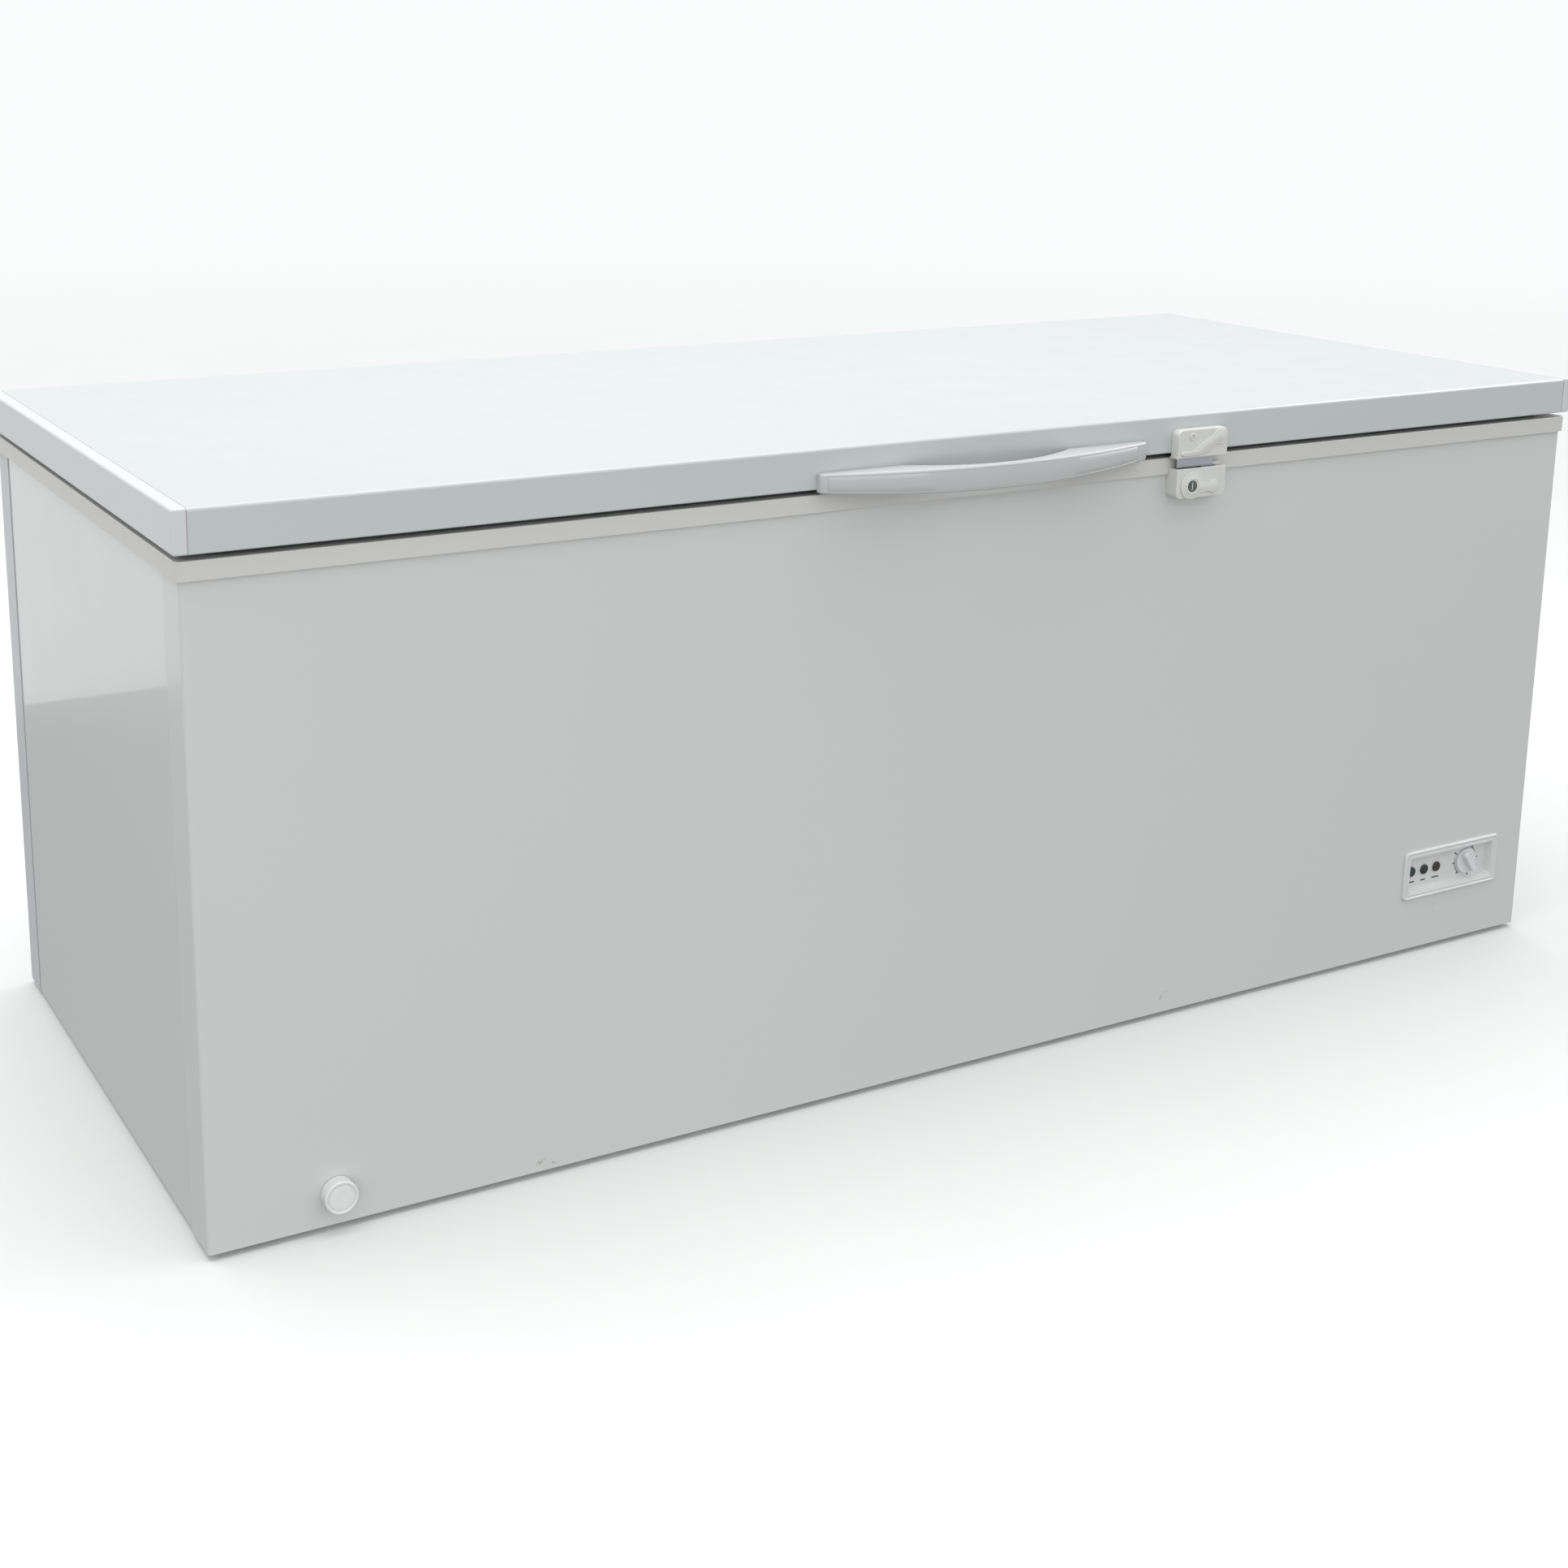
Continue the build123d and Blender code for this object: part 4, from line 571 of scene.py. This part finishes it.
# ---------------------------------------------------------------- handle
def handle():
    """Bow handle: crowned front, an inset outline round its face and flat wedges at both ends."""
    low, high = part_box("handle")
    centre = (low.x + high.x) / 2
    half = (high.x - low.x) / 2
    back = high.y
    end = back - 10 * MM
    tip = low.y
    end_low = low.z + 7.5 * MM
    finger = 126.5 * MM
    thick = 10.5 * MM
    crown = 0.7 * MM
    corner = 2.6 * MM
    lip = 1.0 * MM
    end_round = 1.1 * MM
    seam_depth = 0.5 * MM
    line_depth = 0.45 * MM
    line_half = 0.45 * MM
    line_inset = 3.6 * MM
    columns = 110
    corner_steps = 5

    def arc(x, reach, edge, crest):
        """Depth at x of an arc through (reach, edge) and (0, crest)."""
        sag = edge - crest
        radius = (reach**2 + sag**2) / (2 * sag)
        return crest + radius - sqrt(max(radius**2 - x**2, 0.0))

    seams = (-half + 8.5 * MM, half - 19.5 * MM)
    stations = {-half, half, -finger, finger}
    stations |= {sign * (half - reach * MM) for sign in (-1, 1) for reach in (0.8, 2.2)}
    stations |= {-half + 2 * half * i / columns for i in range(1, columns)}
    for seam in seams:
        stations = {s for s in stations if abs(s - seam) > 1.2 * MM}
        stations |= {seam - 0.7 * MM, seam - 0.35 * MM, seam, seam + 0.35 * MM, seam + 0.7 * MM}
    mesh = Mesh()
    rings = []
    for x in sorted(stations):
        front = arc(x, half, end, tip)
        behind = arc(x, finger, back, tip + thick) if abs(x) < finger else back
        bottom = low.z + (end_low - low.z) * (x / half) ** 2
        top = high.z
        shrink = 0.0
        from_end = half - abs(x)
        if from_end < 2.1 * MM:
            shrink = (1.0 if from_end < 0.4 * MM else 0.35) * end_round
        groove = seam_depth if min(abs(x - seam) for seam in seams) < 0.1 * MM else 0.0
        depth = behind - front
        section = []

        def add(u, z):
            section.append((x, front + u, z))

        z0 = bottom + shrink
        z1 = top - shrink
        turns = [pi / 2 * i / corner_steps for i in range(1, corner_steps + 1)]
        line = line_depth if seams[0] < x < seams[1] else 0.0
        line_low = z0 + line_inset
        line_high = z1 - line_inset
        face = shrink + crown * 0.8 + groove
        add(depth, z0 + lip)
        add(depth - lip, z0)
        add(shrink + corner * 1.2, z0)
        for a in turns:
            add(shrink + crown + corner * (1 - sin(a)), z0 + corner * (1 - cos(a)))
        for side in (-1, 0, 1):
            add(face + (0.0 if side else line), line_low + side * line_half)
        for f in (0.25, 0.5, 0.75):
            z = line_low + (line_high - line_low) * f
            add(shrink + crown * 0.8 * (2 * f - 1) ** 2 + groove, z)
        for side in (-1, 0, 1):
            add(face + (0.0 if side else line), line_high + side * line_half)
        for a in reversed(turns):
            add(shrink + crown + corner * (1 - sin(a)), z1 - corner * (1 - cos(a)))
        add(shrink + corner * 1.2, z1)
        add(depth - lip, z1)
        add(depth, z1 - lip)
        rings.append([(centre + px, py, pz) for px, py, pz in section])
    mesh.loft(rings)
    return mesh.piece("bow_handle", HANDLE_PLASTIC, "lid", "white_plastic", ["handle"], sharp=40)


# ---------------------------------------------------------------- seal
def gasket():
    """Magnetic seal: flat magnet bar under a pleated bellows."""
    low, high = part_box("lid_gasket")
    tall = high.z - low.z
    profile = (
        (1.2, 0.0), (0.5, 0.07), (0.4, 0.30), (1.2, 0.40), (3.6, 0.43), (2.4, 0.60), (3.8, 0.76), (3.4, 1.0),
        (12.6, 1.0), (12.2, 0.76), (13.6, 0.60), (12.4, 0.43), (14.8, 0.40), (15.6, 0.30), (15.5, 0.07),
        (14.8, 0.0),
    )
    rings = []
    for x, y, nx, ny in rounded_rect(low.x, high.x, low.y, high.y, 22 * MM, 10):
        rings.append([(x - nx * u * MM, y - ny * u * MM, low.z + v * tall) for u, v in profile])
    mesh = Mesh().loft(rings, closed=True)
    return mesh.piece("bellows_seal", GASKET_RUBBER, "lid", "grey_rubber", ["lid_gasket"], sharp=50)


# ---------------------------------------------------------------- lock
FIGURE_HEIGHT = 2.0 * MM
FIGURE_EDGE = 1.0 * MM
BEAD_RADIUS = 1.2 * MM


def edge_bead(mesh, loop, face, floor):
    """Round bead on a figure's outline, no lower than the cover's own edge."""
    centre = face - FIGURE_HEIGHT + BEAD_RADIUS
    path = [(x, centre, max(z, floor + BEAD_RADIUS)) for x, z in loop]
    mesh.tube(path, BEAD_RADIUS, 12, closed=True)


def lock():
    """Raised figures on both covers, and the key barrel's face."""
    housing_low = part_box("lock_housing")[0]
    front = housing_low.y
    upper_low, upper_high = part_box("lock_strike")
    barrel_low, barrel_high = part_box("lock_cylinder")
    key_x = (barrel_low.x + barrel_high.x) / 2
    key_z = (barrel_low.z + barrel_high.z) / 2
    radius = (barrel_high.x - barrel_low.x) / 2

    big = 17.3 * MM
    lobe = 7.6 * MM
    lobe_x, lobe_z = key_x + 37.0 * MM, key_z - 3.4 * MM
    outline = []
    for degrees in range(30, 331, 15):
        a = radians(degrees)
        outline.append((key_x + big * cos(a), key_z + big * sin(a)))
    outline.append((key_x + 19.5 * MM, key_z - 8.6 * MM))
    outline.append((key_x + 24.5 * MM, key_z - 7.6 * MM))
    for degrees in range(-130, 131, 20):
        a = radians(degrees)
        outline.append((lobe_x + lobe * cos(a), lobe_z + lobe * sin(a)))
    outline.append((key_x + 25.5 * MM, key_z + 1.2 * MM))
    outline.append((key_x + 19.5 * MM, key_z + 3.8 * MM))
    mesh = Mesh()
    plateau(mesh, smooth_loop(outline), front, FIGURE_HEIGHT, FIGURE_EDGE)
    edge_bead(mesh, smooth_loop(outline), front, housing_low.z)
    ring = circle(key_x, front - FIGURE_HEIGHT, key_z, 10.6 * MM, 40)
    mesh.tube(ring, 0.7 * MM, 8, closed=True)
    mesh.piece("lock_housing_relief", LOCK_PLASTIC, "cabinet", "lock_plastic")

    base_x, base_z = upper_high.x - 82.0 * MM, upper_low.z
    figure = (
        (5.5, 5.2), (8, 8.2), (17, 7.6), (25, 9.2), (33, 14.5), (38, 18), (46, 21), (55, 25.5), (60, 31),
        (66.5, 34.6), (73.5, 34.0), (78.2, 29.5), (78.6, 23.5), (74.5, 17.8), (68, 16.4), (61, 16.6),
        (55, 13.5), (49, 8.2), (40, 5.2), (25, 4.0), (12, 4.0),
    )
    loop = smooth_loop([(base_x + u * MM, base_z + v * MM) for u, v in figure])
    loop.reverse()
    mesh = Mesh()
    plateau(mesh, loop, upper_low.y, FIGURE_HEIGHT, FIGURE_EDGE)
    edge_bead(mesh, loop, upper_low.y, upper_low.z)
    boss_x, boss_z = base_x + 22.0 * MM, base_z + 27.5 * MM
    ring = circle(boss_x, upper_low.y - 0.3 * MM, boss_z, 3.6 * MM, 32)
    mesh.tube(ring, 1.1 * MM, 8, closed=True)
    mesh.piece("lock_strike_relief", LOCK_PLASTIC, "lid", "lock_plastic")

    face = barrel_low.y
    mesh = Mesh()
    lathe_y(
        mesh, key_x, key_z,
        [
            (barrel_high.y, 0.2 * MM), (barrel_high.y, radius), (face + 0.8 * MM, radius),
            (face, radius - 0.8 * MM), (face, radius - 1.9 * MM), (face + 0.9 * MM, radius - 2.2 * MM),
            (face + 0.9 * MM, 0.2 * MM),
        ],
        sides=40,
    )
    mesh.piece("key_barrel_sleeve", LOCK_BLACK, "key_barrel", "black_plastic", ["lock_cylinder"])

    plug = Mesh()
    slot_half, slot_reach, deep = 0.9 * MM, 4.2 * MM, 5.0 * MM
    outer = radius - 2.5 * MM
    ring_out, ring_in, ring_deep = [], [], []
    for k in range(40):
        a = 2 * pi * k / 40
        ring_out.append((key_x + outer * cos(a), face + 0.3 * MM, key_z + outer * sin(a)))
        x = max(-slot_half, min(slot_half, outer * cos(a)))
        z = max(-slot_reach, min(slot_reach, outer * sin(a)))
        if abs(x) < slot_half and abs(z) < slot_reach:
            x = slot_half if cos(a) >= 0 else -slot_half
        ring_in.append((key_x + x, face + 0.3 * MM, key_z + z))
        ring_deep.append((key_x + x, face + deep, key_z + z))
    skirt = [(x, face + 1.2 * MM, z) for x, _, z in ring_out]
    plug.loft([skirt, ring_out, ring_in, ring_deep], caps=False)
    plug.piece("key_barrel_plug", PLUG_STEEL, "key_barrel", "lock_metal")


# ---------------------------------------------------------------- control panel
def dial_prints():
    """Generic printed marks: a scale round the knob and a dash under each lamp."""
    knob_low, knob_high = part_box("thermostat_knob")
    bezel_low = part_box("control_bezel")[0]
    cx, cz = (knob_low.x + knob_high.x) / 2, (knob_low.z + knob_high.z) / 2
    floor = bezel_low.y + 9.5 * MM
    proud = floor - 0.12 * MM

    def strip(mesh, start, finish, width):
        """Flat bar between two points of the plate."""
        a, b = Vector(start), Vector(finish)
        run = (b - a).normalized() * 0.5
        side = Vector((-run.y, run.x)) * width
        corners = (a + side, b + side, b - side, a - side)
        mesh.loft([[(p.x, floor + 0.2 * MM, p.y) for p in corners], [(p.x, proud, p.y) for p in corners]])

    def at(degrees, r):
        """Point at a clockwise angle from straight up."""
        a = radians(degrees)
        return cx + r * MM * sin(a), cz + r * MM * cos(a)

    mesh = Mesh()
    for first, last in ((-150, -73), (-10, 100)):
        steps = 18
        for i in range(steps):
            a = first + (last - first) * i / steps
            b = first + (last - first) * (i + 1) / steps
            strip(mesh, at(a, 21.8), at(b + 0.3, 21.8), 1.0 * MM)
    for degrees in (-139, -94, -16, 37, 88):
        strip(mesh, at(degrees, 22.0), at(degrees, 25.6), 1.9 * MM)
    strip(mesh, at(-57, 20.5), at(-57, 27.5), 1.9 * MM)
    strip(mesh, at(163, 22.5), at(163, 28.0), 2.4 * MM)
    for name, width in (("left", 15.5), ("middle", 9.0), ("right", 14.5)):
        low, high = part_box("lamp_lens_" + name)
        x = (low.x + high.x) / 2 + 0.5 * MM
        z = low.z - 9.0 * MM
        strip(mesh, (x - width / 2 * MM, z), (x + width / 2 * MM, z), 2.1 * MM)
    mesh.piece("panel_prints", INK, "cabinet", "black_plastic")


def lamp_rims():
    """Thin pale collar round each lamp."""
    for name in ("left", "middle", "right"):
        low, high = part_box("lamp_lens_" + name)
        cx, cz = (low.x + high.x) / 2, (low.z + high.z) / 2
        radius = (high.x - low.x) / 2 + 0.8 * MM
        y = low.y + 2.6 * MM
        mesh = Mesh()
        mesh.tube(circle(cx, y, cz, radius, 40), 1.0 * MM, 8, closed=True)
        mesh.piece("lamp_collar_" + name, SLOT_MATERIALS["bezel_plastic"], "cabinet", "bezel_plastic")


def bezel_bead():
    """Raised bead round the control panel's frame."""
    low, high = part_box("control_bezel")
    mesh = Mesh()
    for offset, radius in ((2.9, 2.4), (8.4, 1.2)):
        path = [
            (x, low.y + 0.55 * radius * MM, z)
            for x, z, _, _ in rounded_rect(
                low.x + offset * MM, high.x - offset * MM, low.z + offset * MM, high.z - offset * MM,
                max(8.0 - offset, 2.5) * MM,
            )
        ]
        mesh.tube(path, radius * MM, 10, closed=True)
    mesh.piece("panel_frame_beads", SLOT_MATERIALS["bezel_plastic"], "cabinet", "bezel_plastic")


# ---------------------------------------------------------------- springs
def spring(side):
    """Helical torsion spring on one hinge pin, with a leg on the bracket."""
    node = "hinge_spring_" + side
    pin_low, pin_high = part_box("hinge_pin_" + side)
    low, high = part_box(node)
    cx = (pin_low.x + pin_high.x) / 2
    axis_y, axis_z = (pin_low.y + pin_high.y) / 2, (pin_low.z + pin_high.z) / 2
    wire = 1.15 * MM
    coil = high.y - axis_y - 1.25 * MM
    turns = 8
    start = cx - 10.0 * MM + wire
    travel = 20.0 * MM - 2 * wire
    path = [(start, axis_y - coil, low.z), (start, axis_y - coil, axis_z - 6 * MM)]
    steps = turns * 18
    for i in range(steps + 1):
        a = 2 * pi * i / 18
        path.append((start + travel * i / steps, axis_y - coil * cos(a), axis_z + coil * sin(a)))
    mesh = Mesh().tube(path, wire, 8)
    mesh.piece("torsion_spring_" + side, ZINC, "cabinet", "zinc", [node], sharp=60)


# ---------------------------------------------------------------- basket
def basket():
    """Hanging basket of round coated wires with bent corners."""
    low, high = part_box("basket")
    rail_inset = 14.5 * MM
    wire = 1.5 * MM
    x0, x1 = low.x + wire, high.x - wire
    y0, y1 = low.y + rail_inset + wire, high.y - rail_inset - wire
    z0, z1 = low.z + wire, high.z - wire
    bend = 12 * MM

    def drop(a0, a1, b0, b1, put):
        """A wire that goes down one wall, across the floor and up the other."""
        path = [put(a0, b1)]
        for i in range(6):
            t = pi / 2 * i / 5
            path.append(put(a0 + bend * (1 - cos(t)), b0 + bend * (1 - sin(t))))
        for i in range(6):
            t = pi / 2 * (1 - i / 5)
            path.append(put(a1 - bend * (1 - cos(t)), b0 + bend * (1 - sin(t))))
        path.append(put(a1, b1))
        return path

    mesh = Mesh()
    rows, columns = 12, 8
    for i in range(1, rows):
        y = y0 + (y1 - y0) * i / rows
        mesh.tube(drop(x0, x1, z0, z1, lambda a, b: (a, y, b)), wire, 8)
    for i in range(1, columns):
        x = x0 + (x1 - x0) * i / columns
        mesh.tube(drop(y0, y1, z0, z1, lambda a, b: (x, a, b)), wire, 8)
    corner = 14 * MM
    for f in (0.3, 0.53, 0.76):
        z = z0 + (z1 - z0) * f
        path = [(x, y, z) for x, y, _, _ in rounded_rect(x0, x1, y0, y1, corner, 6)]
        mesh.tube(path, wire, 8, closed=True)
    path = [(x, y, z1) for x, y, _, _ in rounded_rect(x0, x1, y0, y1, corner, 6)]
    mesh.tube(path, wire, 8, closed=True)
    for edge, inner in ((low.y + wire, y0), (high.y - wire, y1)):
        mesh.tube([(x0 + 4 * MM, edge, z1), (x1 - 4 * MM, edge, z1)], wire, 8)
        for i in range(columns + 1):
            x = x0 + 6 * MM + (x1 - x0 - 12 * MM) * i / columns
            mesh.tube([(x, edge, z1), (x, inner, z1)], wire, 8)
    mesh.piece("wire_basket", WIRE, "basket", "coated_wire", ["basket"], sharp=60)


# ---------------------------------------------------------------- drain cap
def drain_cap():
    """Screw cap with a ribbed side, a rim ring, a groove and a slightly dished disc."""
    low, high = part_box("drain_cap")
    cx, cz = (low.x + high.x) / 2, (low.z + high.z) / 2
    radius = (high.x - low.x) / 2
    face = low.y
    back = high.y
    ribs_on = (face + 2.5 * MM, back - 0.5 * MM)

    def ribs(k, y):
        if not ribs_on[0] < y < ribs_on[1]:
            return 0.0
        return -0.65 * MM if k % 4 in (0, 1) else 0.0

    profile = [
        (back, 14.8 * MM), (back, radius - 0.4 * MM), (back - 0.6 * MM, radius), (back - 1.0 * MM, radius),
        (face + 2.4 * MM, radius), (face + 2.2 * MM, radius), (face + 0.9 * MM, radius - 0.1 * MM),
        (face + 0.25 * MM, radius - 0.6 * MM), (face, radius - 1.3 * MM), (face, radius - 2.1 * MM),
        (face + 0.3 * MM, radius - 2.6 * MM), (face + 1.7 * MM, radius - 3.0 * MM),
        (face + 1.7 * MM, radius - 4.9 * MM), (face + 0.8 * MM, radius - 5.3 * MM),
        (face + 0.6 * MM, radius - 6.2 * MM), (face + 0.9 * MM, radius * 0.35), (face + 1.0 * MM, 0.2 * MM),
    ]
    mesh = Mesh()
    lathe_y(mesh, cx, cz, profile, sides=112, ribs=ribs)
    mesh.faces.pop(-2)
    mesh.piece("drain_screw_cap", WHITE_PLASTIC, "drain_cap", "white_plastic", ["drain_cap"], sharp=45)


handle()
gasket()
lock()
dial_prints()
lamp_rims()
bezel_bead()
spring("left")
spring("right")
basket()
drain_cap()


# ---------------------------------------------------------------- studio
HORIZON = 0.97
ZENITH = 1.35
GROUND = 0.42
DUSK = (-0.20, -0.06)
SKY_COLOUR = (0.985, 0.995, 1.0, 1.0)
CARD_COLOUR = (0.98, 0.99, 1.0, 1.0)
FLOOR_REACH = 150.0
FADE_START = 3.5
FADE_END = 12.0


def flat_square(name, corners):
    """One flat face that belongs to the studio, not to the object."""
    mesh = bpy.data.meshes.new(name)
    mesh.from_pydata(corners, [], [(0, 1, 2, 3)])
    obj = bpy.data.objects.new(name, mesh)
    bpy.context.scene.collection.objects.link(obj)
    return obj


def glow_card(name, corners, strength):
    """Bright card that only reflections see."""
    card = flat_square(name, corners)
    glow = bpy.data.materials.new(name + "_glow")
    glow.use_nodes = True
    tree = glow.node_tree
    tree.nodes.clear()
    light = tree.nodes.new("ShaderNodeEmission")
    light.inputs["Color"].default_value = CARD_COLOUR
    light.inputs["Strength"].default_value = strength
    tree.links.new(light.outputs[0], tree.nodes.new("ShaderNodeOutputMaterial").inputs[0])
    glow.cycles.emission_sampling = "NONE"
    card.data.materials.append(glow)
    card.visible_camera = False
    card.visible_diffuse = False
    card.visible_shadow = False
    card.visible_transmission = False


def facing_card(place, aim, side):
    """Corners of a square card that faces a point."""
    turn = (Vector(aim) - Vector(place)).to_track_quat("-Z", "Y")
    half = side / 2
    corners = ((-half, -half), (half, -half), (half, half), (-half, half))
    return [tuple(Vector(place) + turn @ Vector((u, v, 0.0))) for u, v in corners]


def fade_far_floor(shader):
    """Turns the floor to the sky's brightness away from the object, so that no horizon line shows."""
    tree = shader.tree
    length = tree.nodes.new("ShaderNodeVectorMath")
    length.operation = "LENGTH"
    shader.link(shader.place, length.inputs[0])
    glow = tree.nodes.new("ShaderNodeEmission")
    glow.inputs["Color"].default_value = SKY_COLOUR
    glow.inputs["Strength"].default_value = HORIZON
    both = tree.nodes.new("ShaderNodeMixShader")
    shader.link(shader.span(length.outputs["Value"], FADE_START, FADE_END), both.inputs[0])
    shader.link(shader.bsdf.outputs[0], both.inputs[1])
    shader.link(glow.outputs[0], both.inputs[2])
    output = next(n for n in tree.nodes if n.type == "OUTPUT_MATERIAL")
    shader.link(both.outputs[0], output.inputs["Surface"])
    shader.material.cycles.emission_sampling = "NONE"


def sky():
    """Even sky that is brighter overhead and dim below the horizon."""
    world = bpy.data.worlds.new("studio")
    bpy.context.scene.world = world
    world.use_nodes = True
    tree = world.node_tree
    background = tree.nodes["Background"]
    background.inputs["Color"].default_value = SKY_COLOUR
    split = tree.nodes.new("ShaderNodeSeparateXYZ")
    tree.links.new(tree.nodes.new("ShaderNodeTexCoord").outputs["Generated"], split.inputs[0])
    up = tree.nodes.new("ShaderNodeMapRange")
    for socket, number in zip(up.inputs[1:5], (0.0, 1.0, HORIZON - GROUND, ZENITH - GROUND)):
        socket.default_value = number
    above = tree.nodes.new("ShaderNodeMapRange")
    for socket, number in zip(above.inputs[1:5], (*DUSK, 0.0, 1.0)):
        socket.default_value = number
    level = tree.nodes.new("ShaderNodeMath")
    level.operation = "MULTIPLY_ADD"
    level.inputs[2].default_value = GROUND
    tree.links.new(split.outputs[2], up.inputs[0])
    tree.links.new(split.outputs[2], above.inputs[0])
    tree.links.new(up.outputs[0], level.inputs[0])
    tree.links.new(above.outputs[0], level.inputs[1])
    tree.links.new(level.outputs[0], background.inputs["Strength"])


def area_light(name, place, aim, size, power, shiny):
    """Rectangular lamp that the camera doesn't see; reflections see it if it is shiny."""
    data = bpy.data.lights.new(name, "AREA")
    data.shape = "RECTANGLE"
    data.size, data.size_y = size
    data.energy = power
    lamp = bpy.data.objects.new(name, data)
    lamp.location = place
    lamp.rotation_euler = (Vector(aim) - Vector(place)).to_track_quat("-Z", "Y").to_euler()
    lamp.visible_camera = False
    lamp.visible_glossy = shiny
    bpy.context.scene.collection.objects.link(lamp)


def studio():
    r = FLOOR_REACH
    floor = flat_square("floor", [(-r, -r, 0), (r, -r, 0), (r, r, 0), (-r, r, 0)])
    s = Shader("studio_floor", 0.8, specular=0.1)
    s.colour(mottled(s, (0.74, 0.745, 0.735), 0.006, 3.0, 2.0))
    s.bump(s.noise(120.0, 3.0), 0.05, 0.0003)
    fade_far_floor(s)
    floor.data.materials.append(s.material)
    floor.visible_diffuse = False
    floor.visible_glossy = False

    glow_card("reflector", [(-8, 1.8, 0), (8, 1.8, 0), (8, 1.8, 5), (-8, 1.8, 5)], 0.9)
    glow_card("edge_light", facing_card((4.6, -1.1, 3.3), (0.5, -0.4, 0.6), 3.2), 6.2)

    sky()
    area_light("overhead", (-0.4, 0.1, 3.4), (-0.4, 0.1, 0.0), (4.0, 2.6), 56.0, True)
    area_light("low_fill", (-1.7, -2.8, 0.45), (-0.65, -0.2, 0.36), (2.2, 0.7), 13.0, False)


CAMERA_LENS = 51.12
CAMERA_SHIFT = (0.0549, -0.1501)
CAMERA_PLACE = (-1.62437, -2.58957, 1.31111)
CAMERA_TURN = (77.108, -0.469, -28.964)


def camera():
    """Camera at the photograph's viewing angle."""
    data = bpy.data.cameras.new("camera")
    data.lens = CAMERA_LENS
    data.sensor_width = 36.0
    data.shift_x, data.shift_y = CAMERA_SHIFT
    data.clip_end = 200.0
    obj = bpy.data.objects.new("camera", data)
    obj.location = CAMERA_PLACE
    obj.rotation_euler = tuple(radians(turn) for turn in CAMERA_TURN)
    bpy.context.scene.collection.objects.link(obj)
    bpy.context.scene.camera = obj


studio()
camera()
bpy.context.scene.view_settings.view_transform = "Standard"
